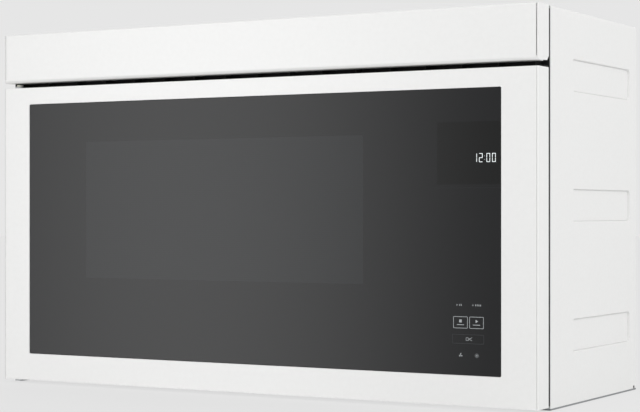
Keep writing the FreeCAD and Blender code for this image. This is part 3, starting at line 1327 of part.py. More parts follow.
def fan_motor():
    """Shaded-pole motor: square laminations held by the shroud's bridge."""
    y = (FAN_Y + FAN_DEPTH + FAN_MOTOR_GAP, FAN_Y + FAN_DEPTH + FAN_MOTOR_GAP + FAN_MOTOR_DEPTH)
    x = about(MAGNETRON_X, FAN_MOTOR_SIZE)
    stack = slab("Y", trimmed(x, about(FAN_Z, FAN_MOTOR_SIZE), FAN_MOTOR_CORNER), y)
    socket_y = (y[0], y[0] + FAN_SHAFT_IN + LATCH_CLEAR)
    return stack.cut(rod("Y", MAGNETRON_X, FAN_Z, FAN_SHAFT + HINGE_RUN, socket_y))


# ---- Vent blower ----
def arc_edge(x, middle, radius, start, end):
    """Arc in the Y, Z plane between two angles in degrees, counted from +Y towards +Z."""
    places = []
    for angle in (start, (start + end) / 2, end):
        turn = math.radians(angle)
        y = middle[0] + radius * math.cos(turn)
        places.append(FreeCAD.Vector(x, y, middle[1] + radius * math.sin(turn)))
    return Part.Arc(*places).toShape()


def volute_form(x, grow):
    """Spiral form: three quarter arcs of growing radius, then the outlet towards the front."""
    step = VOLUTE_STEP / 2
    middles = [(BLOWER_Y + step, BLOWER_Z - step), (BLOWER_Y + step, BLOWER_Z + step)]
    middles.append((BLOWER_Y - step, BLOWER_Z + step))
    edges = []
    for index, middle in enumerate(middles):
        radius = VOLUTE_RADIUS + index * VOLUTE_STEP + grow
        start = 180.0 + index * 90.0
        edges.append(arc_edge(x[0], middle, radius, start, start + 90.0))
    top = BLOWER_Z + step + VOLUTE_RADIUS + 2 * VOLUTE_STEP + grow
    floor = BLOWER_Z + OUTLET_FLOOR - grow
    lip = BLOWER_Y + step - VOLUTE_RADIUS - grow
    mouth = BLOWER_Y - OUTLET_REACH
    corners = [(BLOWER_Y - step, top), (mouth, top), (mouth, floor)]
    corners += [(lip - TONGUE_ROOM, floor), (lip, BLOWER_Z - step)]
    points = [FreeCAD.Vector(x[0], u, v) for u, v in corners]
    edges += [Part.makeLine(a, b) for a, b in zip(points, points[1:])]
    return Part.Face(Part.Wire(edges)).extrude(FreeCAD.Vector(x[1] - x[0], 0, 0))


def volute_span(side):
    inner = side * VOLUTE_FROM_MIDDLE
    outer = inner + side * VOLUTE_LENGTH
    return (min(inner, outer), max(inner, outer))


def blower_housing(side):
    """Scroll with an inlet on its outer side, a shaft hole on the other and an open outlet."""
    x = volute_span(side)
    shell = volute_form(x, VOLUTE_WALL).cut(volute_form(grown(x, -VOLUTE_WALL), 0.0))
    mouth_y = (BLOWER_Y - OUTLET_REACH, BLOWER_Y - OUTLET_REACH + VOLUTE_WALL)
    mouth_z = (BLOWER_Z + OUTLET_FLOOR, BLOWER_Z + 2.5 * VOLUTE_STEP + VOLUTE_RADIUS)
    shell = shell.cut(box(grown(x, -VOLUTE_WALL), mouth_y, mouth_z))
    outer_x = (x[1] - VOLUTE_WALL, x[1]) if side > 0 else (x[0], x[0] + VOLUTE_WALL)
    inlet = polygon(BLOWER_Y, BLOWER_Z, INLET_RADIUS, 2 * BLADE_COUNT)
    shell = shell.cut(slab("X", inlet, outer_x))
    return shell.cut(slab("X", polygon(BLOWER_Y, BLOWER_Z, 2 * BLOWER_SHAFT, 12), x))


def blower_housings():
    """Both scrolls, one on each side of the motor."""
    return group([blower_housing(-1), blower_housing(1)])


def wheel_blade(x, angle):
    """One forward-curved blade, bent in the middle."""
    turns = (0.0, BLADE_SWEEP * 0.35, BLADE_SWEEP)
    radii = (WHEEL_INNER, (WHEEL_INNER + WHEEL_RADIUS) / 2, WHEEL_RADIUS - 0.5)
    edge = []
    for thick in (-BLADE_THICK / 2, BLADE_THICK / 2):
        side = []
        for radius, turn in zip(radii, turns):
            place = math.radians(angle + turn) + thick / radius
            side.append((BLOWER_Y + radius * math.cos(place), BLOWER_Z + radius * math.sin(place)))
        edge += side if thick < 0 else side[::-1]
    return slab("X", edge, x)


def wheel(side):
    """Squirrel-cage wheel: a plate towards the motor, curved blades and an end ring."""
    x = volute_span(side)
    inner = about(sum(x) / 2, WHEEL_LENGTH)
    plate_x = (inner[0], inner[0] + WHEEL_PLATE) if side > 0 else (inner[1] - WHEEL_PLATE, inner[1])
    ring_x = (inner[1] - WHEEL_PLATE, inner[1]) if side > 0 else (inner[0], inner[0] + WHEEL_PLATE)
    rim = polygon(BLOWER_Y, BLOWER_Z, WHEEL_RADIUS, 2 * BLADE_COUNT)
    eye = polygon(BLOWER_Y, BLOWER_Z, WHEEL_INNER, 2 * BLADE_COUNT)
    pieces = [slab("X", rim, plate_x), slab("X", rim, ring_x).cut(slab("X", eye, ring_x))]
    blade_x = grown(inner, -WHEEL_PLATE)
    for index in range(BLADE_COUNT):
        pieces.append(wheel_blade(blade_x, 360.0 * index / BLADE_COUNT))
    return fused(pieces)


def vent_wheels():
    """Both wheels on the motor's through shaft."""
    end = VOLUTE_FROM_MIDDLE + VOLUTE_LENGTH / 2
    shaft = rod("X", BLOWER_Y, BLOWER_Z, BLOWER_SHAFT, (-end, end))
    return fused([wheel(-1), wheel(1), shaft])


def blower_motor():
    """Drum motor between the scrolls, in a cradle on the blower deck."""
    x = about(0.0, BLOWER_MOTOR_LENGTH)
    drum = slab("X", polygon(BLOWER_Y, BLOWER_Z, BLOWER_MOTOR_RADIUS, 2 * BLADE_COUNT), x)
    y = about(BLOWER_Y, BLOWER_MOTOR_RADIUS * 1.5)
    cradle = box(about(0.0, CRADLE_WIDTH), y, (BLOWER_DECK_TOP, BLOWER_Z))
    return fused([drum, cradle]).cut(rod("X", BLOWER_Y, BLOWER_Z, BLOWER_SHAFT + BLOWER_RUN, x))


def charcoal_filter():
    """Framed filter between the blower and the air ports, open in cells."""
    y = (FRAME_BACK + CHARCOAL_BEHIND_FRAME, FRAME_BACK + CHARCOAL_BEHIND_FRAME + CHARCOAL_THICK)
    z = (BLOWER_DECK_TOP, BLOWER_DECK_TOP + CHARCOAL_HEIGHT)
    x = about(0.0, CHARCOAL_LENGTH)
    body = box(x, y, z)
    width = (CHARCOAL_LENGTH - 2 * CHARCOAL_BORDER + CHARCOAL_RIB) / CHARCOAL_CELLS
    cell_y = (y[0], y[0] + CHARCOAL_THICK / 3)
    for index in range(CHARCOAL_CELLS):
        low = x[0] + CHARCOAL_BORDER + index * width
        body = body.cut(box((low, low + width - CHARCOAL_RIB), cell_y, grown(z, -CHARCOAL_BORDER)))
    return body


# ---- Underside ----
def grease_filter(side):
    """Mesh panel in a channelled frame, with a pull tab towards the front."""
    middle = side * FILTER_FROM_MIDDLE
    x = about(middle, FILTER_LENGTH)
    y = filter_y()
    z = (BASE_SHEET, BASE_SHEET + FILTER_THICK)
    body = slab("Z", trimmed(x, y, FILTER_CORNER), z)
    room_x = grown(x, -FILTER_FRAME)
    room_y = grown(y, -FILTER_FRAME)
    mesh = FILTER_THICK / 3
    body = body.cut(box(room_x, room_y, (z[0], z[0] + mesh)))
    body = body.cut(box(room_x, room_y, (z[1] - mesh, z[1])))
    tab_y = (room_y[0], room_y[0] + TAB_LENGTH)
    outline = trimmed(about(middle, TAB_WIDTH), tab_y, FILTER_CORNER)
    tab = slab("Z", outline, (z[0] + TAB_INSET, z[0] + mesh))
    return fused([body, tab])


def grease_filter_left():
    return grease_filter(-1)


def grease_filter_right():
    return grease_filter(1)


def lens_corners(side, grow):
    x = about(side * LENS_FROM_MIDDLE, LENS_LENGTH)
    return trimmed(grown(x, grow), grown(lens_y(), grow), LENS_CORNER)


def cooktop_lamp_lenses():
    """Glass lenses that drop into the base from above and rest on a flange."""
    lenses = []
    for side in (-1, 1):
        lens = slab("Z", lens_corners(side, -LENS_CLEAR), (LENS_RECESS, BASE_SHEET))
        flange = slab("Z", lens_corners(side, LENS_FLANGE), (BASE_SHEET, BASE_SHEET + LENS_FLANGE_THICK))
        lenses.append(fused([lens, flange]))
    return group(lenses)


def cooktop_lamps():
    """Lamp housings above the lenses, open towards them."""
    low = BASE_SHEET + LENS_FLANGE_THICK
    lamps = []
    for side in (-1, 1):
        x = grown(about(side * LENS_FROM_MIDDLE, LENS_LENGTH), LENS_FLANGE)
        y = grown(lens_y(), LENS_FLANGE)
        case = slab("Z", trimmed(x, y, LENS_CORNER), (low, low + LAMP_HEIGHT))
        room_z = (low, low + LAMP_HEIGHT - LAMP_ROOF)
        lamps.append(case.cut(box(grown(x, -LENS_CORNER), grown(y, -LENS_CORNER), room_z)))
    return group(lamps)


# ---- Top and rear fittings ----
def exhaust_cover():
    """Plate under the top sheet that closes the exhaust opening."""
    top = HEIGHT - WRAP_SHEET
    x = grown(about(0.0, EXHAUST_LENGTH), EXHAUST_LAP)
    return slab("Z", trimmed(x, grown(exhaust_y(), EXHAUST_LAP), PRESS_CORNER), (top - WRAP_SHEET, top))


def cabinet_bolt_nuts():
    """Plates with weld nuts under the top, for the bolts that come down from the cabinet."""
    top = HEIGHT - WRAP_SHEET
    low = top - BOLT_PLATE_SHEET
    plates = []
    for side in (-1, 1):
        middle = side * BOLT_SPACING / 2
        outline = trimmed(about(middle, BOLT_PLATE), about(bolt_y(), BOLT_PLATE), BOLT_PLATE_CORNER)
        plate = slab("Z", outline, (low, top))
        nut = slab("Z", polygon(middle, bolt_y(), BOLT_NUT, 6), (low - BOLT_NUT_HEIGHT, low))
        hole = rod("Z", middle, bolt_y(), BOLT_HOLE, (low - BOLT_NUT_HEIGHT, top))
        plates.append(fused([plate, nut]).cut(hole))
    return group(plates)


def cord_grommet():
    """Square-shouldered grommet that snaps into the sunk pocket of the top, with an open bore."""
    sheet = HEIGHT - PRESS_DEPTH
    low = sheet - WRAP_SHEET - GROMMET_DROP
    neck = slab("Z", grommet_outline(GROMMET_NECK), (low, sheet))
    flange = slab("Z", grommet_outline(GROMMET_FLANGE), (sheet, sheet + GROMMET_LIP))
    return fused([neck, flange]).cut(rod("Z", CORD_X, CORD_Y, GROMMET_BORE, (low, sheet + GROMMET_LIP)))


def grommet_outline(half):
    x = (CORD_X - half, CORD_X + half)
    return trimmed(x, (CORD_Y - half, CORD_Y + half), GROMMET_CORNER)


# ---- Electrics ----
def power_board_spans():
    y = about(STIRRER_Y, POWER_BOARD_LENGTH)
    low = CAVITY_Z[0] + POWER_BOARD_LIFT
    return y, (low, low + POWER_BOARD_HEIGHT)


def power_board():
    """Upright board beside the cavity on four posts, with its relays, transformer and connector."""
    wall = CAVITY_X[1] + LINER_SHEET
    y, z = power_board_spans()
    face = wall + BOARD_STANDOFF + BOARD_THICK
    pieces = [box((face - BOARD_THICK, face), y, z)]
    post_x = (wall, face - BOARD_THICK)
    for post_y in grown(y, -POST_INSET):
        for post_z in grown(z, -POST_INSET):
            pieces.append(box(post_x, about(post_y, POST_SIZE), about(post_z, POST_SIZE)))
    return group([fused(pieces)] + board_parts(face, y, z))


def board_parts(face, y, z):
    """Three relays, a small transformer and a connector on the power board."""
    room_y = grown(y, -PARTS_INSET)
    room_z = grown(z, -PARTS_INSET)
    pieces = []
    for index in range(3):
        low = room_y[0] + index * RELAY_PITCH
        relay_z = (room_z[1] - RELAY_HEIGHT, room_z[1])
        pieces.append(box((face, face + RELAY_WIDTH), (low, low + RELAY_WIDTH), relay_z))
    small_y = (room_y[0], room_y[0] + SMALL_CORE_LENGTH)
    small_z = (room_z[0], room_z[0] + SMALL_CORE_HEIGHT)
    pieces.append(box((face, face + SMALL_CORE_DEPTH), small_y, small_z))
    plug_y = (room_y[1] - CONNECTOR_LENGTH, room_y[1])
    plug_z = (room_z[0], room_z[0] + CONNECTOR_WIDTH)
    pieces.append(box((face, face + CONNECTOR_HEIGHT), plug_y, plug_z))
    return pieces


def line_filter_board():
    """Mains filter by the cord inlet: board, choke coil, capacitor and fuse block."""
    x = about(CORD_X - FILTER_BOARD_LENGTH / 2, FILTER_BOARD_LENGTH)
    y = about(CORD_Y - FILTER_BOARD_FORWARD, FILTER_BOARD_WIDTH)
    low = BLOWER_DECK_TOP + BOARD_STANDOFF
    top = low + BOARD_THICK
    pieces = [box(x, y, (low, top))]
    for post_x in grown(x, -POST_SIZE):
        for post_y in grown(y, -POST_SIZE):
            post = box(about(post_x, POST_SIZE), about(post_y, POST_SIZE), (BLOWER_DECK_TOP, low))
            pieces.append(post)
    middle = sum(y) / 2
    coil = polygon(x[0] + CHOKE_COIL_PLACE, middle, CHOKE_COIL_RADIUS, WELL_SIDES)
    pieces.append(slab("Z", coil, (top, top + CHOKE_COIL_HEIGHT)))
    part_y = about(middle, FILTER_PART_LENGTH)
    film_x = about(x[0] + FILM_CAPACITOR_PLACE, FILM_CAPACITOR_THICK)
    pieces.append(box(film_x, part_y, (top, top + FILM_CAPACITOR_HEIGHT)))
    fuse_x = about(x[1] - FUSE_BLOCK_PLACE, FUSE_BLOCK_WIDTH)
    pieces.append(box(fuse_x, part_y, (top, top + FUSE_BLOCK_HEIGHT)))
    return fused(pieces)


def thermal_cutouts():
    """Snap-disc cut-outs on the magnetron and on the cavity's side."""
    top = WELL_BOTTOM + MAGNETRON_HEIGHT + 2 * YOKE_SHEET + FILTER_BOX_HEIGHT
    disc = polygon(MAGNETRON_X, STIRRER_Y, CUTOUT_RADIUS, WELL_SIDES)
    side_y = CAVITY_Y[1] - CUTOUT_FROM_CORNER
    side = polygon(side_y, CAVITY_Z[1] - CUTOUT_FROM_CORNER, CUTOUT_RADIUS, WELL_SIDES)
    wall = CAVITY_X[1] + LINER_SHEET
    cutouts = [slab("Z", disc, (top, top + CUTOUT_HEIGHT))]
    cutouts.append(slab("X", side, (wall, wall + CUTOUT_HEIGHT)))
    return group(cutouts)


def cavity_lamp():
    """Lamp housing on the cavity's right side with a bulb."""
    wall = CAVITY_X[1] + LINER_SHEET
    y = (FRAME_BACK + LATCH_BOARD_THICK + 2.0, FRAME_BACK + LATCH_BOARD_THICK + 34.0)
    z = (CAVITY_Z[1] - 40.0, CAVITY_Z[1] - 10.0)
    case = box((wall, wall + 18.0), y, z).cut(box((wall, wall + 14.0), grown(y, -2.0), grown(z, -2.0)))
    lamp = slab("X", polygon(sum(y) / 2, sum(z) / 2, 6.0, 12), (wall + 4.0, wall + 14.0))
    return fused([case, lamp])


SUB_PARTS = [
    outer_wrap, base_plate, rear_panel, front_frame, cavity_liner, ceramic_floor, waveguide, stirrer,
    stirrer_motor, inner_deck, blower_deck, air_duct, vent_fascia, fascia_end_caps, vent_louver,
    hinge_brackets, hinge_blocks, hinge_bushes, door_frame, door_glass, door_inner_pan, choke_cover,
    inner_glass, window_screen, touch_board, display_module, door_bumpers, latch_key, latch_spring,
    latch_board, interlock_switches, switch_plungers, opener_lever, opener_solenoid, solenoid_plunger,
    magnetron_tube, magnetron_yoke, transformer_core, transformer_windings, capacitor, capacitor_clamp,
    fan_shroud, fan_wheel, fan_motor, blower_housings, vent_wheels, blower_motor, charcoal_filter,
    grease_filter_left, grease_filter_right, cooktop_lamp_lenses, cooktop_lamps, exhaust_cover,
    cabinet_bolt_nuts, cord_grommet, power_board, line_filter_board, thermal_cutouts, cavity_lamp,
]

os.makedirs("parts", exist_ok=True)
for make in SUB_PARTS:
    make().exportStep("parts/" + make.__name__ + ".step")
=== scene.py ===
import json
import math
import bmesh
import bpy
from mathutils import Matrix, Vector


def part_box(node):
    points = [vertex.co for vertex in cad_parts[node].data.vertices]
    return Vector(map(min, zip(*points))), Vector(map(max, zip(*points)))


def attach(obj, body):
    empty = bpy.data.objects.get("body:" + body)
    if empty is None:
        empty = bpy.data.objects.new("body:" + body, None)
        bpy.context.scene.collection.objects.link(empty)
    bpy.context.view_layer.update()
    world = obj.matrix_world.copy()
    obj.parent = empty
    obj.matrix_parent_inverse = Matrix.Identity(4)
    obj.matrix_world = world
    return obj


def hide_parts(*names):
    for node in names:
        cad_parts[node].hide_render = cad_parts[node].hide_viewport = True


# Looks of an over the range microwave oven: painted cabinet, dark glass door, vent fascia and the
# works inside. Sizes and places are millimetres in the frame of the solids, and MM makes them metres.

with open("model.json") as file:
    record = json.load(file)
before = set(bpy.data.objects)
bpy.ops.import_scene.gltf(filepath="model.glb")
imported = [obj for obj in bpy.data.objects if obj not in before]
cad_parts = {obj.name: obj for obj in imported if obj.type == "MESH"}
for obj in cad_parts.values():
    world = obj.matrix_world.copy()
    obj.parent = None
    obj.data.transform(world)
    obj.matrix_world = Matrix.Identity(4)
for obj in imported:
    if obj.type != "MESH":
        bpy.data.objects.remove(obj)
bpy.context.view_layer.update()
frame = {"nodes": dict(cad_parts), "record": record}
nodes = frame["nodes"]
MM = 0.001

# ---- Camera and studio ----
IMAGE_WIDTH = 640
IMAGE_HEIGHT = 412
FOCAL_PIXELS = 1778.4
HORIZON_ROW = 211.38
SENSOR = 36.0
CLIP_END = 50.0           # metres
CAMERA_PLACE = (1152.1, -1981.7, 224.0)
CAMERA_TURN = 29.943
BACKDROP = "#E6E6E6"
ROOM_LEVEL = 0.72
SOFTBOX_LEVEL = 2.5
SOFTBOX_TURN = 34.2       # degrees to the left of straight ahead of the door
SOFTBOX_HALF = 10.5       # degrees from its middle to where it fades out
SOFTBOX_FALL = 1.7        # how fast it fades
SOFTBOX_STRETCH = 0.3     # share of a direction's height that counts, which makes the light tall
FLOOR_RADIUS = 14.0       # metres
FLOOR_DROP = 0.4          # keeps the floor just under the base
FLOOR_GLOW = 0.86         # share of the floor's colour that shadows don't reach
PAPER_GRAIN = 400.0
LAMP_SIZE = (1.6, 1.2)    # metres
FRONT_LAMP = ((60, -2500, 800), (0, -157, 180), 6.4)      # place, what it looks at, and watts
SIDE_LAMP = ((2300, -500, 1900), (380, 0, 230), 17.0)

# ---- Modelling ----
PAST = 1.0                # how far a cutter reaches past what it cuts
NEAR_LINE = 0.05          # how near to its line an edge is found
SHARP = 35.0              # degrees, over which an edge stays sharp
MERGE = 0.002             # corners of a copied solid that are nearer than this become one
FLAT = 0.3                # degrees, under which its neighbouring triangles become one face

# ---- Cabinet ----
WRAP_BEND = 2.6
WRAP_SHEET = 0.8
WRAP_EDGE = 0.7           # rounding where the sheet turns into a recess
END_FACE = 0.05           # square metres, over which a face toward the front or rear is an open end
RECESS_DEPTH = 2.5
RECESS_DRAFT = 1.0
RECESS_CORNER = 6.0
RECESS_LENGTH = 191.0
RECESS_HEIGHT = 38.5
RECESS_FROM_FRONT = 65.7
RECESS_MIDDLES = (80.4, 231.0, 381.6)
CREASE = (1.6, 0.3)       # width of a recess's crease at its upright sides and at its level sides
CREASE_DEPTH = 0.5
TOP_CUT = 6.0             # depth of the cutters in the top
EXHAUST_X = (-127.0, 127.0)
EXHAUST_Y = (53.9, 136.5)
EXHAUST_CORNER = 4.0
BOLT_X = 306.0
BOLT_Y = -61.5
BOLT_HOLE = 3.4
CORD_PLACE = (319.4, 111.5)
CORD_POCKET = 46.0
GROMMET_HOLE = 18.0
GROMMET_CORNER = 2.5
NOTCH_Y = (146.5, 151.5)
NOTCH_Z = (2.0, 5.5)
NOTCH_REACH = 5.0

# ---- Fascia ----
FASCIA_SHEET = 1.2
FASCIA_EDGE = 0.25
FASCIA_LIP = 18.0
FASCIA_TOP_ROUND = 2.0
FASCIA_LOWER_ROUND = 4.5
FASCIA_CHAMFER = 5.0
SEAM = 1.0                # open joint between the fascia's face and its end caps
SEAM_LOW = 5.0            # the joint closes this far above the fascia's lower edge
CAP_RISE = 1.5            # the end cap's lower edge climbs towards its rear
CAP_EDGE = 0.3

# ---- Upper hinge and front frame ----
# Black walls round the upper hinge: painted shade of the gap there
HINGE_SHADE_X = (-377.4, -367.6)
HINGE_SHADE_Y = (-137.0, -121.6)
HINGE_SHADE_Z = (386.6, 399.8)
HINGE_SHADE_THICK = 0.7
HINGE_SHADE_EDGE = 0.1
PIN_PLACE = (-365.4, -141.5)
PIN_HEAD_RADIUS = 4.4
PIN_HEAD_THICK = 2.0
PIN_HEAD_EDGE = 0.3
TONGUE_TOP = 388.7
TONGUE_X = (-372.0, -358.8)
TONGUE_Z = (385.0, 389.3)
# Black strips in the gap round the door: painted shade of the gap
GAP_SHADE_WIDTH = 1.8
GAP_SHADE_THICK = 0.4
GAP_SHADE_INSET = 0.05         # from the frame's edge to the shade strip's
GAP_SHADE_SHORT = 3.0          # the shade strip ends this far from the frame's top and bottom

# ---- Door ----
DOOR_SHEET = 1.2
DOOR_FRONT_ROUND = 2.0
DOOR_REAR_ROUND = 1.2
DOOR_HINGE_ROUND = 6.0
GLASS_CLEAR = 0.3
GLASS_CORNER = 1.5
GLASS_EDGE = 0.5
GLASS_LEDGE = 8.0
OPENING_CUT = 2.0         # depth of the cutter for the glass's opening
REBATE_LAP = 0.1          # the rebate starts this far inside the skin's rear face
REBATE_EDGE = 0.3
BED_CLEAR = 0.02          # between the back of the glass and the ledge
LEDGE_CUT = 5.0
FOLD_LINE = (0.6, 0.9)    # width and depth of the fold down each side of the door's face
FOLD_FROM_EDGE = 1.9
BUSH_SHANK = 11.0
BUSH_CUT = 6.0
WINDOW_X = (-245.3, 158.7)
WINDOW_Z = (139.0, 313.0)
DISPLAY_X = (254.8, 334.5)
DISPLAY_Z = (254.7, 325.5)
DISPLAY_RULE_X = (248.5, 334.5)
DISPLAY_RULE_Z = (250.3, 251.0)

# ---- Print and figures on the glass ----
PRINT_THICK = 0.08
DIGIT_HEIGHT = 10.0
DIGIT_LOW = 279.5
DIGIT_WIDTH = 4.4
DIGIT_LEFTS = (300.4, 307.4, 316.6, 323.5)
COLON_X = 314.2
COLON_SHARES = (0.3, 0.7)  # heights of its dots, as shares of a digit's
SEGMENT = 0.66
SEGMENT_GAP = 0.12
SEGMENT_POINT = 0.42      # share of a segment's width that its pointed ends take
KEY_BOXES = (((275.3, 293.3), (91.6, 105.0)), ((295.4, 313.1), (91.6, 105.0)))
KEY_LINE = 0.55
WIDE_KEY = ((274.2, 313.4), (74.3, 84.8))
WIDE_LINE = 0.35
BOX_CORNERS = (0.9, 0.5)  # outside and inside a printed box's line
BAR_ROUND = 0.3           # share of a printed bar's width that its corners take
UPPER_MARKS = (285.1, 305.0)
UPPER_MARK_Z = 118.0
LOWER_MARKS = (284.6, 304.6)
LOWER_MARK_Z = 61.2
WIDE_MARK = (294.4, 79.6)
PLUS_SHIFT = 5.2          # from a key's middle to the middle of its plus sign
PLUS_ARM = 2.2
PLUS_LINE = 0.5
TALLY_SHIFT = 3.4         # from the plus sign's middle to the first bar after it
TALLY_STEP = 2.0
TALLY_BAR = (0.8, 2.2)
MARK_RISE = 1.6           # a sign over a line stands this far above the key's middle
STOP_SIDE = 3.2
GO_RADIUS = 2.1
UNDERLINE = (9.0, 0.7)
UNDERLINE_DROP = 2.6
LEAF_SHIFT = -1.6
LEAF = (3.4, 3.6)
LEAF_LINE = 0.45
SWING_PLACE = (2.4, 0.9)
SWING_BAR = (4.2, 0.5)
SWING_TURN = 24.0
FAN_HUB = 0.9
FAN_REACH = 1.5
FAN_BLADE = (2.0, 0.95)
SUN_RADIUS = 0.85
SUN_REACH = 2.0
SUN_RAY = (1.1, 0.4)

# ---- Cavity and filters ----
HOLE_RADIUS = 1.5
HOLE_PITCH = 6.0
HOLE_DISC = 0.2           # thickness of the dark disc that stands for a hole
CAVITY_WALLS = (-308.0, 222.0)
GRILLES = {               # each grille's first hole, and its holes along Y and along Z
    "lamp_grille": ((CAVITY_WALLS[1], -111, 305), (5, 5)),
    "air_grille_left": ((CAVITY_WALLS[0], 20, 240), (9, 6)),
    "air_grille_right": ((CAVITY_WALLS[1], 20, 240), (9, 6)),
}
SCREEN_PITCH = 2.4        # real holes are about 1.5 apart, drawn wider so that they show
SCREEN_HOLE = 0.8
MESH_MARGIN = 8.9         # frame width of a grease filter
MESH_STRAND = 0.9
MESH_ROWS = 0.73          # rows of mesh for each column
FRONT_LAYER = (1.5, 34)   # height of a mesh layer above the filter's underside, and its columns
BACK_LAYER = (2.5, 29)

# ---- Screws ----
SCREW_HEAD = 4.0
SCREW_DEEP = 1.6
SCREW_SUNK = 0.12
SCREW_EDGE = 0.12
SCREW_TURN = 37           # degrees from one screw's cross to the next one's
CROSS = (0.9, 4.2)        # width and length of a slot of the cross
CROSS_DEEP = 1.0
SINK_RADIUS = 4.35
SINK_DEEP = 2.6
BACK = 156.5              # faces that screws are sunk in
FRAME_FACE = -121.5
PAN_FACE = -125.9
REAR_SCREWS = [(x, BACK, z) for x in (-368, 368) for z in (30, 228, 426)]
REAR_SCREWS += [(x, BACK, 446) for x in (-190, 0, 190)] + [(x, BACK, 10) for x in (-330, 0, 330)]
BASE_SCREWS = [(x, y, 0) for x in (-360, 360) for y in (-100, 20, 140)] + [(0, -100, 0), (0, 140, 0)]
FRAME_SCREWS = [(-345, FRAME_FACE, z) for z in (90, 230, 345)]
FRAME_SCREWS += [(365, FRAME_FACE, z) for z in (40, 200, 360)]
FRAME_SCREWS += [(x, FRAME_FACE, 366) for x in (-200, 110)] + [(x, FRAME_FACE, 40) for x in (-250, 0, 180)]
PAN_SCREWS = [(360, PAN_FACE, z) for z in (45, 195, 345)] + [(-356, PAN_FACE, z) for z in (70, 195, 320)]


# ---- Modelling tools ----
def spans(node):
    """Lowest and highest value of a solid on each axis."""
    low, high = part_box(node)
    return [(a / MM, b / MM) for a, b in zip(low, high)]


def about(middle, size):
    """Span of a size about a middle."""
    return (middle - size / 2, middle + size / 2)


def grown(span, margin):
    """Span that reaches a margin further at both ends."""
    return (span[0] - margin, span[1] + margin)


def only(piece):
    """Makes a piece the one that the next operator works on."""
    bpy.ops.object.select_all(action="DESELECT")
    piece.select_set(True)
    bpy.context.view_layer.objects.active = piece


def settled(name):
    """Names the new primitive and moves its place into its mesh."""
    piece = bpy.context.object
    bpy.ops.object.transform_apply(location=True, rotation=True, scale=True)
    piece.name = name
    piece.data.name = name
    return piece


def block(name, x, y, z):
    """Box between two values on each axis."""
    bpy.ops.object.select_all(action="DESELECT")
    size = [(span[1] - span[0]) * MM for span in (x, y, z)]
    middle = [(span[0] + span[1]) / 2 * MM for span in (x, y, z)]
    bpy.ops.mesh.primitive_cube_add(size=1, location=middle, scale=size)
    return settled(name)


def drum(name, axis, middle, radius, thick, sides=32):
    """Round bar about a middle, along X, Y or Z."""
    turns = {"X": (0, math.pi / 2, 0), "Y": (-math.pi / 2, 0, 0), "Z": (0, 0, 0)}
    bpy.ops.object.select_all(action="DESELECT")
    bpy.ops.mesh.primitive_cylinder_add(
        vertices=sides, radius=radius * MM, depth=thick * MM,
        location=[value * MM for value in middle], rotation=turns[axis])
    return settled(name)


def pick(piece, kind, test):
    """Opens a piece in edit mode with the corners, edges or faces that pass a test selected."""
    only(piece)
    bpy.ops.object.mode_set(mode="EDIT")
    bpy.ops.mesh.select_mode(type=kind)
    bpy.ops.mesh.select_all(action="DESELECT")
    mesh = bmesh.from_edit_mesh(piece.data)
    for item in {"VERT": mesh.verts, "EDGE": mesh.edges, "FACE": mesh.faces}[kind]:
        item.select = bool(test(item))
    mesh.select_flush_mode()
    bmesh.update_edit_mesh(piece.data)


def done():
    bpy.ops.object.mode_set(mode="OBJECT")


def facing(*way):
    """Test for the faces that point one way."""
    way = Vector(way).normalized()
    return lambda face: face.normal.dot(way) > 0.99


def running(axis, **near):
    """Test for straight edges along an axis, at given values in mm on the others."""
    places = {"xyz".index(name): value for name, value in near.items()}

    def test(edge):
        start, end = edge.verts[0].co, edge.verts[1].co
        if abs((end - start).normalized()["xyz".index(axis)]) < 0.99:
            return False
        middle = (start + end) / 2 / MM
        return all(abs(middle[index] - value) < NEAR_LINE for index, value in places.items())
    return test


def rounded(piece, test, radius, segments):
    """Rounds the edges that pass a test."""
    pick(piece, "EDGE", test)
    bpy.ops.mesh.bevel(offset=radius * MM, segments=segments, affect="EDGES")
    done()


def emptied(piece, test):
    """Takes out the faces that pass a test."""
    pick(piece, "FACE", test)
    bpy.ops.mesh.delete(type="FACE")
    done()


def modified(piece, kind, **settings):
    """Adds a modifier and applies it."""
    only(piece)
    modifier = piece.modifiers.new(kind.lower(), kind)
    for name, value in settings.items():
        setattr(modifier, name, value)
    bpy.ops.object.modifier_apply(modifier=modifier.name)
    return piece


def cut(piece, *cutters):
    """Cuts other forms out of a piece."""
    for cutter in cutters:
        modified(piece, "BOOLEAN", operation="DIFFERENCE", object=cutter, solver="EXACT")
        bpy.data.objects.remove(cutter)
    return piece


def joined(name, pieces):
    """One piece from several."""
    bpy.ops.object.select_all(action="DESELECT")
    for piece in pieces:
        piece.select_set(True)
    bpy.context.view_layer.objects.active = pieces[0]
    if len(pieces) > 1:
        bpy.ops.object.join()
    pieces[0].name = name
    pieces[0].data.name = name
    return pieces[0]


def repeated(piece, count, step):
    """Row of a piece, each a step in mm from the one before."""
    return modified(piece, "ARRAY", count=count, use_relative_offset=False, use_constant_offset=True,
                    constant_offset_displace=[value * MM for value in step])


def softened(piece, width, segments=2, angle=SHARP):
    """Breaks the edges sharper than an angle in degrees, as on real sheet and mouldings."""
    return modified(piece, "BEVEL", width=width * MM, segments=segments, limit_method="ANGLE",
                    angle_limit=math.radians(angle))


def smooth(piece):
    """Shades round faces as round and leaves flat ones flat."""
    only(piece)
    bpy.ops.object.shade_smooth_by_angle(angle=math.radians(SHARP))
    modified(piece, "WEIGHTED_NORMAL", keep_sharp=True)


def whole_copy(name, node):
    """Copy of a solid, with its loose triangles merged back into whole faces."""
    piece = bpy.data.objects.new(name, nodes[node].data.copy())
    piece.data.name = name
    bpy.context.scene.collection.objects.link(piece)
    only(piece)
    bpy.ops.object.mode_set(mode="EDIT")
    bpy.ops.mesh.select_all(action="SELECT")
    bpy.ops.mesh.customdata_custom_splitnormals_clear()
    bpy.ops.mesh.remove_doubles(threshold=MERGE * MM)
    bpy.ops.mesh.dissolve_limited(angle_limit=math.radians(FLAT))
    done()
    return piece


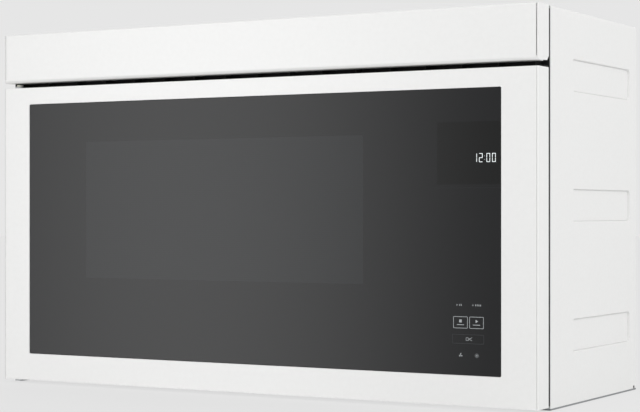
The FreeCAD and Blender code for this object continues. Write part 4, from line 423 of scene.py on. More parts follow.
def worn(piece, finish, body, slot, *replaced):
    """Gives a piece its finish and its body, and says which solids it stands for."""
    piece.data.materials.clear()
    piece.data.materials.append(finish)
    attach(piece, body)
    if replaced:
        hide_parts(*replaced)
    return piece


# ---- Material tools ----
def linear(code):
    """Linear colour from an sRGB hex value."""
    parts = [int(code[place:place + 2], 16) / 255 for place in (1, 3, 5)]
    return [part / 12.92 if part <= 0.04045 else ((part + 0.055) / 1.055) ** 2.4
            for part in parts] + [1.0]


def add(tree, kind, inputs=(), stops=(), **settings):
    """Adds a node with its settings, its input values or links, and its colour stops."""
    node = tree.nodes.new(kind)
    for name, value in settings.items():
        setattr(node, name, value)
    for name, value in dict(inputs).items():
        if isinstance(value, bpy.types.NodeSocket):
            tree.links.new(value, node.inputs[name])
        else:
            node.inputs[name].default_value = value
    for index, (place, colour) in enumerate(stops):
        ramp = node.color_ramp.elements
        stop = ramp[index] if index < len(ramp) else ramp.new(place)
        stop.position = place
        stop.color = linear(colour)
    return node


def blank(name):
    """New material with an empty tree and the place of each point on the piece."""
    finish = bpy.data.materials.new(name)
    finish.use_nodes = True
    tree = finish.node_tree
    tree.nodes.clear()
    return finish, tree, add(tree, "ShaderNodeTexCoord").outputs["Object"]


def shaded(finish, tree, height=None, rise=0.0, **inputs):
    """Ends a material in one shader, over a relief of a pattern times a rise in mm. The shader's
    inputs are named with _ for a space."""
    named = {name.replace("_", " "): value for name, value in inputs.items()}
    if height is not None:
        relief = {"Height": height, "Distance": rise * MM, "Strength": 1.0}
        named["Normal"] = add(tree, "ShaderNodeBump", relief).outputs[0]
    shader = add(tree, "ShaderNodeBsdfPrincipled", named)
    add(tree, "ShaderNodeOutputMaterial", {"Surface": shader.outputs[0]})
    return finish


def grain(tree, place, size, stretch=(1, 1, 1)):
    """Cloudy grain of a size in mm, drawn out where a stretch is under 1."""
    drawn = add(tree, "ShaderNodeMapping", {"Vector": place, "Scale": stretch}).outputs[0]
    wide = {"Vector": drawn, "Scale": 1 / (size * MM), "Detail": 3.0, "Roughness": 0.55}
    return add(tree, "ShaderNodeTexNoise", wide).outputs[0]


def area(tree, place, x, z):
    """1 inside an upright rectangle, 0 outside it."""
    parts = add(tree, "ShaderNodeSeparateXYZ", {0: place})
    share = None
    for name, span in (("X", x), ("Z", z)):
        middle = sum(span) / 2 * MM
        half = (span[1] - span[0]) / 2 * MM
        inside = {0: parts.outputs[name], 1: middle, 2: half}
        near = add(tree, "ShaderNodeMath", inside, operation="COMPARE").outputs[0]
        both = {0: near, 1: 1.0 if share is None else share}
        share = add(tree, "ShaderNodeMath", both, operation="MULTIPLY").outputs[0]
    return share


def dots(tree, place, pitch, radius):
    """1 in a square field of upright round dots, 0 between them. Sizes are in mm."""
    scale = {0: place, 1: [1 / (pitch * MM)] * 3}
    scaled = add(tree, "ShaderNodeVectorMath", scale, operation="MULTIPLY")
    cell = add(tree, "ShaderNodeVectorMath", {0: scaled.outputs[0]}, operation="FRACTION")
    centre = {0: cell.outputs[0], 1: (0.5, 0.5, 0.5)}
    middle = add(tree, "ShaderNodeVectorMath", centre, operation="SUBTRACT")
    upright = {0: middle.outputs[0], 1: (1, 0, 1)}
    flat = add(tree, "ShaderNodeVectorMath", upright, operation="MULTIPLY")
    reach = add(tree, "ShaderNodeVectorMath", {0: flat.outputs[0]}, operation="LENGTH").outputs["Value"]
    edge = radius / pitch
    ends = {"Value": reach, "From Min": edge * 1.12, "From Max": edge * 0.88}
    return add(tree, "ShaderNodeMapRange", ends).outputs[0]


def mottled(name, pale, deep, size, rise, rough, stretch=(1, 1, 1), **inputs):
    """Surface that wanders between two tones and two roughnesses, with a fine relief."""
    finish, tree, place = blank(name)
    cloud = grain(tree, place, size, stretch)
    tones = ((0.3, deep), (0.7, pale))
    colour = add(tree, "ShaderNodeValToRGB", {0: cloud}, stops=tones).outputs[0]
    ends = {"Value": cloud, "From Min": 0.3, "From Max": 0.7, "To Min": rough[0], "To Max": rough[1]}
    sheen = add(tree, "ShaderNodeMapRange", ends).outputs[0]
    return shaded(finish, tree, cloud, rise, Base_Color=colour, Roughness=sheen, **inputs)


# ---- Finishes ----
def powder_coated_steel():
    # Baked powder coat on sheet steel: white, half gloss, with the faint dimples of orange peel.
    return mottled("powder_coated_steel", "#F3F3F2", "#F0F0EF", 3.0, 0.012, (0.34, 0.40), Coat_Weight=0.15,
                   Coat_Roughness=0.2)


def gloss_white_enamel():
    # Sprayed and baked gloss paint on the door and fascia: smoother than the cabinet, with soft
    # reflections.
    return mottled("gloss_white_enamel", "#F4F4F3", "#F2F2F1", 6.0, 0.006, (0.16, 0.20), Coat_Weight=0.35,
                   Coat_Roughness=0.08)


def galvanised_steel():
    # Hot dipped zinc: cool grey patches of spangle a few millimetres wide, each its own sheen.
    finish, tree, place = blank("galvanised_steel")
    cells = add(tree, "ShaderNodeTexVoronoi", {"Vector": place, "Scale": 1 / (9.0 * MM)})
    parts = add(tree, "ShaderNodeSeparateColor", {0: cells.outputs["Color"]}).outputs[0]
    tones = ((0.0, "#B2B6B8"), (1.0, "#BFC3C5"))
    colour = add(tree, "ShaderNodeValToRGB", {0: parts}, stops=tones).outputs[0]
    sheen = {"Value": parts, "To Min": 0.42, "To Max": 0.48}
    rough = add(tree, "ShaderNodeMapRange", sheen).outputs[0]
    fine = grain(tree, place, 2.5)
    return shaded(finish, tree, fine, 0.02, Base_Color=colour, Metallic=0.9, Roughness=rough)


def grey_powder_coat():
    # Darker baked coat on the underside, a little rough so that it hides grease.
    return mottled("grey_powder_coat", "#8E9193", "#858889", 2.5, 0.02, (0.45, 0.55))


def satin_grey_paint():
    # Satin paint on the plate behind the door: soft pale grey, smooth to the cloth.
    return mottled("satin_grey_paint", "#C9CBCB", "#C2C4C4", 4.0, 0.01, (0.3, 0.38))


def speckled_enamel():
    # Fired cavity enamel: mid grey with fine dark and pale flecks under a glassy coat.
    finish, tree, place = blank("speckled_enamel")
    cells = add(tree, "ShaderNodeTexVoronoi", {"Vector": place, "Scale": 1 / (2.6 * MM)}, feature="F1")
    tones = ((0.12, "#6C6F70"), (0.2, "#A9ABAB"), (0.62, "#B1B3B2"), (0.8, "#C8CAC9"))
    fleck = add(tree, "ShaderNodeValToRGB", {0: cells.outputs["Distance"]}, stops=tones).outputs[0]
    wave = grain(tree, place, 7.0)
    return shaded(finish, tree, wave, 0.02, Base_Color=fleck, Roughness=0.24, Coat_Weight=0.4,
                  Coat_Roughness=0.1)


def cast_ceramic():
    # Glass ceramic floor: milky off-white with a fine grey speckle, smooth but not shiny.
    finish, tree, place = blank("cast_ceramic")
    cells = add(tree, "ShaderNodeTexVoronoi", {"Vector": place, "Scale": 1 / (1.8 * MM)})
    tones = ((0.1, "#B9B6AE"), (0.22, "#E2DFD6"), (0.8, "#E7E4DC"))
    fleck = add(tree, "ShaderNodeValToRGB", {0: cells.outputs["Distance"]}, stops=tones).outputs[0]
    return shaded(finish, tree, grain(tree, place, 5.0), 0.01, Base_Color=fleck, Roughness=0.3)


def brushed(name, pale, deep, along, rough=(0.28, 0.42), width=1.2):
    """Metal with fine lines along one axis."""
    stretch = [0.02 if axis == along else 1.0 for axis in "XYZ"]
    return mottled(name, pale, deep, width, 0.01, rough, stretch, Metallic=1.0)


def rolled_aluminium():
    # Mill finish aluminium: pale, with faint lines from the rolls.
    return brushed("rolled_aluminium", "#D3D5D6", "#C2C4C6", "X")


def drawn_aluminium():
    # Deep drawn can: bright, with upright draw lines.
    return brushed("drawn_aluminium", "#CDD0D2", "#BBBEC1", "Z", (0.25, 0.36))


def cold_rolled_steel():
    # Bare bracket steel with a light oil: darker than zinc, fine lines.
    return brushed("cold_rolled_steel", "#A7A9AA", "#939597", "X", (0.32, 0.46))


def ground_steel():
    # Machined and tumbled small steel pieces.
    return brushed("ground_steel", "#B9BBBC", "#A6A8AA", "Z", (0.24, 0.34), 0.8)


def zinc_plated_steel():
    # Plated motor shells: cool grey, slightly cloudy.
    return mottled("zinc_plated_steel", "#B7BBBD", "#A5A9AB", 6.0, 0.01, (0.3, 0.42), Metallic=1.0)


def laminated_core():
    # Stack of thin varnished plates: dark bands half a millimetre thick, drawn at 1.6 so they show.
    # A wave of bands is 0.314 of the size in its scale.
    finish, tree, place = blank("laminated_core")
    wave = {"Vector": place, "Scale": 1 / (10.0 * MM), "Distortion": 0.3}
    bands = add(tree, "ShaderNodeTexWave", wave, bands_direction="Y").outputs[0]
    colour = add(tree, "ShaderNodeValToRGB", {0: bands}, stops=((0.2, "#3A3B3D"), (0.8, "#77797B")))
    return shaded(finish, tree, bands, 0.12, Base_Color=colour.outputs[0], Metallic=0.85, Roughness=0.45)


def wound_copper():
    # Enamelled copper wire laid in rows, with the wire's round edges as a fine ribbing, painted lighter on
    # each row's crown as a highlight and darker between rows as shade. The rows are drawn 2.8 mm apart so
    # that they show.
    finish, tree, place = blank("wound_copper")
    wave = {"Vector": place, "Scale": 1 / (9.0 * MM), "Distortion": 0.6}
    turns = add(tree, "ShaderNodeTexWave", wave, bands_direction="Z").outputs[0]
    colour = add(tree, "ShaderNodeValToRGB", {0: turns}, stops=((0.1, "#6B3417"), (0.7, "#B8673A")))
    return shaded(finish, tree, turns, 0.2, Base_Color=colour.outputs[0], Metallic=0.8, Roughness=0.35)


def moulded(name, pale, deep, rough=(0.42, 0.52), size=1.6, rise=0.02):
    """Moulded plastic with a fine spark-eroded grain."""
    return mottled(name, pale, deep, size, rise, rough)


def black_abs():
    # Moulded black housing plastic: deep, with a fine grain that breaks the highlight.
    return moulded("black_abs", "#1B1B1C", "#141415")


def matt_black_abs_and_gap_shade():
    # Louvre plastic with a coarse grain: it swallows light, so that the air slot reads as black. Its near
    # black, darker than the plain black plastic, is partly painted shade of the slot, and it colours the gap
    # shade pieces.
    return moulded("matt_black_abs_and_gap_shade", "#0B0B0C", "#070708", (0.7, 0.8))


def gloss_black_abs():
    # Polished mould: smooth black plastic frame round the door's inner edge.
    return moulded("gloss_black_abs", "#161617", "#111112", (0.22, 0.3), 4.0, 0.008)


def grey_nylon():
    # Glass filled nylon of the latch: mid grey, dry, with short pale fibres.
    return mottled("grey_nylon", "#8F9294", "#7D8082", 1.4, 0.03, (0.5, 0.62), (1, 1, 0.4))


def natural_nylon():
    # Unfilled nylon: milky and slightly translucent.
    return mottled("natural_nylon", "#E7E4DA", "#DDDACF", 3.0, 0.01, (0.35, 0.45), Subsurface_Weight=0.08,
                   Subsurface_Scale=0.002)


def white_polypropylene():
    # Moulded fan: soft white with faint flow marks.
    return mottled("white_polypropylene", "#EDEDEA", "#E4E4E1", 9.0, 0.01, (0.36, 0.46))


def red_abs():
    # Red switch case, fine grain.
    return moulded("red_abs", "#A3281F", "#8E2019")


def black_rubber():
    # Cured rubber: matt, slightly grey, with a fine tooth.
    return mottled("black_rubber", "#222324", "#1A1B1B", 1.2, 0.03, (0.7, 0.85))


def epoxy_board(name, pale, deep):
    """Circuit board: solder mask over faint straight tracks."""
    finish, tree, place = blank(name)
    upright = add(tree, "ShaderNodeMapping", {"Vector": place, "Rotation": (math.pi / 2, 0, 0)})
    grid = {"Vector": upright.outputs[0], "Scale": 1 / (6.0 * MM), "Color1": linear(pale),
            "Color2": linear(pale), "Mortar": linear(deep), "Mortar Size": 0.06}
    tracks = add(tree, "ShaderNodeTexBrick", grid)
    return shaded(finish, tree, tracks.outputs["Fac"], 0.05, Base_Color=tracks.outputs["Color"],
                  Roughness=0.32)


def charcoal_granules():
    # Activated carbon behind its net: coarse black grains, painted lighter at each grain's crown as a
    # highlight and darker towards its edges as shade.
    finish, tree, place = blank("charcoal_granules")
    cells = add(tree, "ShaderNodeTexVoronoi", {"Vector": place, "Scale": 1 / (3.2 * MM)})
    facets = cells.outputs["Distance"]
    tones = ((0.1, "#3A3A3B"), (0.6, "#161617"))
    colour = add(tree, "ShaderNodeValToRGB", {0: facets}, stops=tones).outputs[0]
    return shaded(finish, tree, facets, -1.2, Base_Color=colour, Roughness=0.7)


def black_printed_glass():
    # Float glass, black ceramic print behind it. The window's print is a fine field of dots, which
    # reads a shade lighter, and the display's part is a shade darker. The face is a clear coat.
    finish, tree, place = blank("black_printed_glass")
    window = area(tree, place, WINDOW_X, WINDOW_Z)
    holes = dots(tree, place, SCREEN_PITCH, SCREEN_HOLE)
    ends = {"Value": holes, "From Min": 0.3, "From Max": 0.7, "To Min": 0.75, "To Max": 1.25}
    share = {0: window, 1: add(tree, "ShaderNodeMapRange", ends).outputs[0]}
    screen = add(tree, "ShaderNodeMath", share, operation="MULTIPLY").outputs[0]
    display = area(tree, place, DISPLAY_X, DISPLAY_Z)
    rule = area(tree, place, DISPLAY_RULE_X, DISPLAY_RULE_Z)
    colour = linear("#111214")
    for part, code in ((screen, "#202224"), (display, "#030404"), (rule, "#17191B")):
        tones = {0: part, 6: colour, 7: linear(code)}
        colour = add(tree, "ShaderNodeMix", tones, data_type="RGBA").outputs[2]
    wave = grain(tree, place, 60.0)
    return shaded(finish, tree, wave, 0.01, Base_Color=colour, Roughness=0.1, IOR=1.36)


def clear_glass():
    # Plain toughened glass of the door's inner pane: faint green, sharp reflections.
    finish, tree, place = blank("clear_glass")
    tones = ((0.3, "#E6EFEA"), (0.7, "#EEF4F1"))
    colour = add(tree, "ShaderNodeValToRGB", {0: grain(tree, place, 80.0)}, stops=tones).outputs[0]
    wave = grain(tree, place, 50.0)
    return shaded(finish, tree, wave, 0.01, Base_Color=colour, Roughness=0.02, IOR=1.5,
                  Transmission_Weight=1.0)


def ribbed_lens():
    # Pressed lamp lens: frosted glass with soft prisms 8 mm wide, milky from outside.
    finish, tree, place = blank("ribbed_lens")
    wave = {"Vector": place, "Scale": 1 / (25.0 * MM)}
    ribs = add(tree, "ShaderNodeTexWave", wave, bands_direction="X").outputs[0]
    colour = add(tree, "ShaderNodeValToRGB", {0: ribs}, stops=((0.2, "#D5D9DA"), (0.8, "#F2F4F4")))
    return shaded(finish, tree, ribs, 0.25, Base_Color=colour.outputs[0], Roughness=0.35, IOR=1.5,
                  Transmission_Weight=0.25)


def perforated_black_steel():
    # Black coated screen with rows of round holes, drawn as darker pits whose near black is painted shade of
    # the space behind them.
    finish, tree, place = blank("perforated_black_steel")
    holes = dots(tree, place, SCREEN_PITCH, SCREEN_HOLE)
    tones = {0: holes, 6: linear("#3C3E40"), 7: linear("#060606")}
    colour = add(tree, "ShaderNodeMix", tones, data_type="RGBA").outputs[2]
    return shaded(finish, tree, holes, -0.3, Base_Color=colour, Metallic=0.3, Roughness=0.45)


def filter_frame_aluminium():
    # Folded filter frame: dull rolled aluminium.
    return brushed("filter_frame_aluminium", "#C9CBCC", "#B4B7B9", "Y", (0.35, 0.5))


def filter_wire():
    # Layers of expanded aluminium mesh: bright small strands, slightly rough.
    return mottled("filter_wire", "#DADCDD", "#B3B6B8", 1.2, 0.02, (0.3, 0.45), Metallic=1.0)


def hole_depth_shade():
    # Painted shade of a hole's depth seen from outside: near black, with no shine.
    return mottled("hole_depth_shade", "#0B0B0B", "#060606", 2.0, 0.01, (0.85, 0.95))


def lit_segment():
    # Lit display segment behind the glass: cool white, a little uneven along its length.
    finish, tree, place = blank("lit_segment")
    tones = ((0.3, "#E4EAEC"), (0.7, "#F6FAFB"))
    glow = add(tree, "ShaderNodeValToRGB", {0: grain(tree, place, 2.0)}, stops=tones).outputs[0]
    return shaded(finish, tree, Base_Color=glow, Emission_Color=glow, Emission_Strength=0.35,
                  Roughness=0.4)


def key_print(name, pale, deep):
    """Screen print on the glass: flat ink with a slightly ragged density."""
    return mottled(name, pale, deep, 0.8, 0.005, (0.5, 0.6))


# ---- Studio ----
def studio():
    """Pale room with one tall soft light to the left of the camera, seen in glossy pieces too."""
    world = bpy.data.worlds.new("studio")
    bpy.context.scene.world = world
    world.use_nodes = True
    tree = world.node_tree
    tree.nodes.clear()
    way = add(tree, "ShaderNodeTexCoord").outputs["Generated"]
    squashed = {0: way, 1: (1, 1, SOFTBOX_STRETCH)}
    low = add(tree, "ShaderNodeVectorMath", squashed, operation="MULTIPLY").outputs[0]
    unit = add(tree, "ShaderNodeVectorMath", {0: low}, operation="NORMALIZE").outputs[0]
    turn = math.radians(SOFTBOX_TURN)
    ahead = {0: unit, 1: (-math.sin(turn), -math.cos(turn), 0)}
    near = add(tree, "ShaderNodeVectorMath", ahead, operation="DOT_PRODUCT").outputs["Value"]
    fade = {"Value": near, "From Min": math.cos(math.radians(SOFTBOX_HALF)), "From Max": 1.0}
    shape = add(tree, "ShaderNodeMapRange", fade).outputs[0]
    strip = add(tree, "ShaderNodeMath", {0: shape, 1: SOFTBOX_FALL}, operation="POWER").outputs[0]
    path = add(tree, "ShaderNodeLightPath").outputs
    unseen = add(tree, "ShaderNodeMath", {0: 1.0, 1: path["Is Camera Ray"]}, operation="SUBTRACT").outputs[0]
    shown = add(tree, "ShaderNodeMath", {0: strip, 1: unseen}, operation="MULTIPLY").outputs[0]
    level = add(tree, "ShaderNodeMath", {0: shown, 1: SOFTBOX_LEVEL}, operation="MULTIPLY").outputs[0]
    softbox = add(tree, "ShaderNodeBackground", {"Color": (1, 1, 1, 1), "Strength": level}).outputs[0]
    room = add(tree, "ShaderNodeBackground", {"Color": (1, 1, 1, 1), "Strength": ROOM_LEVEL}).outputs[0]
    backdrop = add(tree, "ShaderNodeBackground", {"Color": linear(BACKDROP), "Strength": 1.0}).outputs[0]
    share = path["Is Camera Ray"]
    for kind in ("Is Glossy Ray", "Is Transmission Ray"):
        share = add(tree, "ShaderNodeMath", {0: share, 1: path[kind]}, operation="MAXIMUM").outputs[0]
    plain = add(tree, "ShaderNodeMixShader", {0: share, 1: room, 2: backdrop}).outputs[0]
    shader = add(tree, "ShaderNodeAddShader", {0: plain, 1: softbox})
    add(tree, "ShaderNodeOutputWorld", {"Surface": shader.outputs[0]})


def floor():
    """Pale floor that runs out of sight and keeps a light shadow. Its underside can be seen through."""
    bpy.ops.object.select_all(action="DESELECT")
    bpy.ops.mesh.primitive_circle_add(vertices=96, radius=FLOOR_RADIUS, fill_type="NGON",
                                      location=(0, 0, -FLOOR_DROP * MM))
    ground = settled("studio_floor")
    finish, tree, place = blank("studio_paper")
    tones = ((0.3, "#EFEFEF"), (0.7, "#F2F2F2"))
    cloud = grain(tree, place, PAPER_GRAIN)
    colour = add(tree, "ShaderNodeValToRGB", {0: cloud}, stops=tones).outputs[0]
    paper = add(tree, "ShaderNodeBsdfDiffuse", {"Color": colour}).outputs[0]
    glow = add(tree, "ShaderNodeEmission", {"Color": linear(BACKDROP), "Strength": 1.0}).outputs[0]
    path = add(tree, "ShaderNodeLightPath").outputs
    seen = {0: path["Is Camera Ray"], 1: FLOOR_GLOW}
    most = add(tree, "ShaderNodeMath", seen, operation="MULTIPLY").outputs[0]
    upper = add(tree, "ShaderNodeMixShader", {0: most, 1: paper, 2: glow}).outputs[0]
    clear = add(tree, "ShaderNodeBsdfTransparent").outputs[0]
    under = add(tree, "ShaderNodeNewGeometry").outputs["Backfacing"]
    shader = add(tree, "ShaderNodeMixShader", {0: under, 1: upper, 2: clear})
    add(tree, "ShaderNodeOutputMaterial", {"Surface": shader.outputs[0]})
    ground.data.materials.append(finish)
    ground.visible_glossy = False


def lamp(name, place, target, power):
    """Soft light of some watts that looks at a point."""
    light = bpy.data.lights.new(name, "AREA")
    light.shape = "RECTANGLE"
    light.size, light.size_y = LAMP_SIZE
    light.energy = power
    holder = bpy.data.objects.new(name, light)
    holder.location = [value * MM for value in place]
    way = Vector(target) - Vector(place)
    holder.rotation_euler = way.to_track_quat("-Z", "Y").to_euler()
    holder.visible_glossy = False
    holder.visible_camera = False
    bpy.context.scene.collection.objects.link(holder)


def camera():
    view = bpy.data.cameras.new("camera")
    view.sensor_width = SENSOR
    view.lens = FOCAL_PIXELS * SENSOR / IMAGE_WIDTH
    view.shift_y = (HORIZON_ROW - IMAGE_HEIGHT / 2) / IMAGE_WIDTH
    view.clip_end = CLIP_END
    holder = bpy.data.objects.new("camera", view)
    holder.location = [value * MM for value in CAMERA_PLACE]
    holder.rotation_euler = (math.pi / 2, 0, math.radians(CAMERA_TURN))
    bpy.context.scene.collection.objects.link(holder)
    bpy.context.scene.camera = holder
    bpy.context.scene.view_settings.view_transform = "Standard"


# ---- Cabinet pieces ----
def recess_place(side, wall, front, middle):
    """Opening of a recess on Y and Z, and the place of its floor on X."""
    start = front + RECESS_FROM_FRONT
    return (start, start + RECESS_LENGTH), about(middle, RECESS_HEIGHT), wall - side * RECESS_DEPTH


def recess_form(side, wall, front, middle):
    """Form of a pressed recess: rounded corners, and walls that lean in to a smaller floor."""
    y, z, floor_x = recess_place(side, wall, front, middle)
    form = block("recess_form", sorted((wall + side * PAST, floor_x)), y, z)
    rounded(form, running("x"), RECESS_CORNER, segments=6)
    pick(form, "FACE", facing(-side, 0, 0))
    share = [1 - 2 * RECESS_DRAFT / (span[1] - span[0]) for span in (y, z)]
    centre = Vector((floor_x, sum(y) / 2, sum(z) / 2)) * MM
    bpy.ops.transform.resize(value=(1, *share), center_override=centre)
    done()
    return form


def recess_crease(side, wall, front, middle):
    """Narrow groove where a recess's walls meet its floor."""
    y, z, floor_x = recess_place(side, wall, front, middle)
    x = sorted((floor_x + side * PAST, floor_x - side * CREASE_DEPTH))
    outer = block("crease", x, grown(y, -RECESS_DRAFT), grown(z, -RECESS_DRAFT))
    rounded(outer, running("x"), RECESS_CORNER, segments=6)
    upright, level = CREASE
    inner = block("crease_inside", grown(x, PAST), grown(y, -RECESS_DRAFT - upright),
                  grown(z, -RECESS_DRAFT - level))
    rounded(inner, running("x"), RECESS_CORNER - upright, segments=6)
    return cut(outer, inner)


def cabinet_wrap(paint):
    """Top and sides bent from one sheet, with three pressed recesses on each side."""
    x, y, z = spans("outer_wrap")
    cord_x, cord_y = CORD_PLACE
    wrap = block("cabinet_wrap", x, y, z)
    rounded(wrap, running("y", z=z[1]), WRAP_BEND, segments=5)
    for middle in RECESS_MIDDLES:
        cut(wrap, recess_form(1, x[1], y[0], middle), recess_form(-1, x[0], y[0], middle))
    pocket = block("pocket", about(cord_x, CORD_POCKET), about(cord_y, CORD_POCKET),
                   (z[1] - RECESS_DEPTH, z[1] + PAST))
    rounded(pocket, running("z"), RECESS_CORNER, segments=6)
    cut(wrap, pocket)
    emptied(wrap, lambda face: abs(face.normal.y) > 0.99 and face.calc_area() > END_FACE)
    lowest = (z[0] + PAST) * MM
    emptied(wrap, lambda face: face.normal.z < -0.99 and face.calc_center_median().z < lowest)
    softened(wrap, WRAP_EDGE, segments=3, angle=40.0)
    modified(wrap, "SOLIDIFY", thickness=WRAP_SHEET * MM, offset=-1)
    for middle in RECESS_MIDDLES:
        cut(wrap, recess_crease(1, x[1], y[0], middle), recess_crease(-1, x[0], y[0], middle))
    top = (z[1] - TOP_CUT, z[1] + PAST)
    exhaust = block("exhaust_hole", EXHAUST_X, EXHAUST_Y, top)
    rounded(exhaust, running("z"), EXHAUST_CORNER, segments=5)
    cord = block("cord_hole", about(cord_x, GROMMET_HOLE), about(cord_y, GROMMET_HOLE), top)
    rounded(cord, running("z"), GROMMET_CORNER, segments=3)
    cut(wrap, exhaust, cord)
    for side in (-1, 1):
        cut(wrap, drum("bolt_hole", "Z", (side * BOLT_X, BOLT_Y, z[1]), BOLT_HOLE, 2 * TOP_CUT))
    cut(wrap, block("notch", grown(x, NOTCH_REACH), NOTCH_Y, NOTCH_Z))
    smooth(wrap)
    return worn(wrap, paint, "housing", "cabinet_white", "outer_wrap")


def fascia(paint):
    """Formed channel across the top, rounded along its lower edge, with a short lower return."""
    x, y, z = spans("vent_fascia")
    shell = block("fascia", x, y, z)
    emptied(shell, lambda face: face.normal.y > 0.9 or abs(face.normal.x) > 0.9)
    rounded(shell, running("x", y=y[0], z=z[0]), FASCIA_LOWER_ROUND, segments=8)
    rounded(shell, running("x", y=y[0], z=z[1]), FASCIA_TOP_ROUND, segments=5)
    pick(shell, "FACE", facing(0, 0, -1))
    lip = Vector((0, y[0] + FASCIA_LIP, 0)) * MM
    bpy.ops.mesh.bisect(plane_co=lip, plane_no=(0, 1, 0), clear_outer=True)
    done()
    modified(shell, "SOLIDIFY", thickness=FASCIA_SHEET * MM, offset=-1)
    softened(shell, FASCIA_EDGE, angle=60.0)
    for end in ((x[0] - PAST, x[0] + SEAM), (x[1] - SEAM, x[1] + PAST)):
        cut(shell, block("seam", end, grown(y, PAST), (z[0] + SEAM_LOW, z[1] + PAST)))
    smooth(shell)
    return worn(shell, paint, "housing", "fascia_white", "vent_fascia")


def fascia_cap(side, paint):
    """Moulded cap that closes one end of the fascia, cut back at its lower rear corner."""
    x, y, z = spans("fascia_end_caps")
    thick = x[1] - spans("vent_fascia")[0][1]
    span = (x[1] - thick, x[1]) if side > 0 else (x[0], x[0] + thick)
    cap = block("fascia_cap_right" if side > 0 else "fascia_cap_left", span, y, z)
    pick(cap, "EDGE", running("x", y=y[1], z=z[0]))
    bpy.ops.transform.translate(value=(0, 0, CAP_RISE * MM))
    done()
    rounded(cap, running("x", y=y[0], z=z[0]), FASCIA_LOWER_ROUND, segments=8)
    rounded(cap, running("x", y=y[0], z=z[1]), FASCIA_TOP_ROUND, segments=5)
    rounded(cap, running("x", y=y[1], z=z[0] + CAP_RISE), FASCIA_CHAMFER, segments=1)
    softened(cap, CAP_EDGE, angle=50.0)
    smooth(cap)
    return worn(cap, paint, "housing", "fascia_white", "fascia_end_caps")


def hinge_gap_shade(plastic):
    """Black cheek that closes the louvre's end round the upper hinge, and a plate behind it: dark sheets that
    paint the shade of the gap there.
    """
    hinge_shade = block("hinge_gap_shade", HINGE_SHADE_X, HINGE_SHADE_Y, HINGE_SHADE_Z)
    inside_x = (HINGE_SHADE_X[0] + HINGE_SHADE_THICK, HINGE_SHADE_X[1] + PAST)
    inside_y = (HINGE_SHADE_Y[0] - PAST, HINGE_SHADE_Y[1] - HINGE_SHADE_THICK)
    cut(hinge_shade, block("inside", inside_x, inside_y, grown(HINGE_SHADE_Z, PAST)))
    cut(hinge_shade, block("tongue_slot", TONGUE_X, grown(HINGE_SHADE_Y, PAST), TONGUE_Z))
    softened(hinge_shade, HINGE_SHADE_EDGE, segments=1, angle=60.0)
    return worn(hinge_shade, plastic, "housing", "louver_black")


def gap_shade_strips(plastic):
    """Thin black strips down both edges of the front frame, in the gap round the door, that paint the shade
    of that gap.
    """
    x, _, z = spans("front_frame")
    depth = (FRAME_FACE - GAP_SHADE_THICK, FRAME_FACE)
    for side, name in ((-1, "gap_shade_strip_left"), (1, "gap_shade_strip_right")):
        edge = sorted((side * (x[1] - GAP_SHADE_WIDTH), side * (x[1] - GAP_SHADE_INSET)))
        worn(block(name, edge, depth, grown(z, -GAP_SHADE_SHORT)), plastic, "housing", "louver_black")


def pin_head(nylon):
    """Pale cap over the upper hinge pin, on the bracket's tongue."""
    middle = (*PIN_PLACE, TONGUE_TOP + PIN_HEAD_THICK / 2)
    head = drum("pin_head", "Z", middle, PIN_HEAD_RADIUS, PIN_HEAD_THICK, sides=48)
    softened(head, PIN_HEAD_EDGE, angle=40.0)
    return worn(head, nylon, "housing", "nylon_white")


# ---- Door pieces ----
def glass_opening():
    """Opening in the door's face on X and Z, a little larger than the glass."""
    x, _, z = spans("door_glass")
    return grown(x, GLASS_CLEAR), grown(z, GLASS_CLEAR)


def door_skin(paint):
    """Formed door skin: rounded edges, fold lines down the face, an opening for the glass and holes for the
    hinge bushes.
    """
    x, y, z = spans("door_frame")
    pin_x, pin_y = PIN_PLACE
    skin = block("door_skin", x, y, z)
    for left in x:
        rounded(skin, running("z", x=left, y=y[0]), DOOR_FRONT_ROUND, segments=5)
    rounded(skin, running("z", x=x[0], y=y[1]), DOOR_HINGE_ROUND, segments=8)
    rounded(skin, running("z", x=x[1], y=y[1]), DOOR_REAR_ROUND, segments=5)
    for low in z:
        rounded(skin, running("x", y=y[0], z=low), DOOR_FRONT_ROUND, segments=5)
        rounded(skin, running("x", y=y[1], z=low), DOOR_REAR_ROUND, segments=5)
    emptied(skin, facing(0, 1, 0))
    modified(skin, "SOLIDIFY", thickness=DOOR_SHEET * MM, offset=-1)
    open_x, open_z = glass_opening()
    hole = block("glass_hole", open_x, (y[0] - PAST, y[0] + OPENING_CUT), open_z)
    rounded(hole, running("y"), GLASS_CORNER, segments=4)
    cut(skin, hole)
    width, depth = FOLD_LINE
    for middle in (x[0] + FOLD_FROM_EDGE, x[1] - FOLD_FROM_EDGE):
        cut(skin, block("fold", about(middle, width), (y[0] - PAST, y[0] + depth), grown(z, PAST)))
    shank_x, shank_y = about(pin_x, BUSH_SHANK), about(pin_y, BUSH_SHANK)
    for low in z:
        cut(skin, block("bush_hole", shank_x, shank_y, about(low, BUSH_CUT)))
    smooth(skin)
    return worn(skin, paint, "door", "door_white", "door_frame")


def glass_rebate(paint):
    """Step round the glass's opening that the glass lies on."""
    face = spans("door_frame")[1][0]
    glass_x, glass_y, glass_z = spans("door_glass")
    open_x, open_z = glass_opening()
    step = block("glass_rebate", grown(open_x, DOOR_SHEET),
                 (face + DOOR_SHEET - REBATE_LAP, glass_y[1] + DOOR_SHEET), grown(open_z, DOOR_SHEET))
    bed = block("bed", open_x, (face, glass_y[1] + BED_CLEAR), open_z)
    room = block("room", grown(glass_x, -GLASS_LEDGE), (face, glass_y[1] + LEDGE_CUT),
                 grown(glass_z, -GLASS_LEDGE))
    cut(step, bed, room)
    softened(step, REBATE_EDGE, angle=60.0)
    smooth(step)
    return worn(step, paint, "door", "door_white")


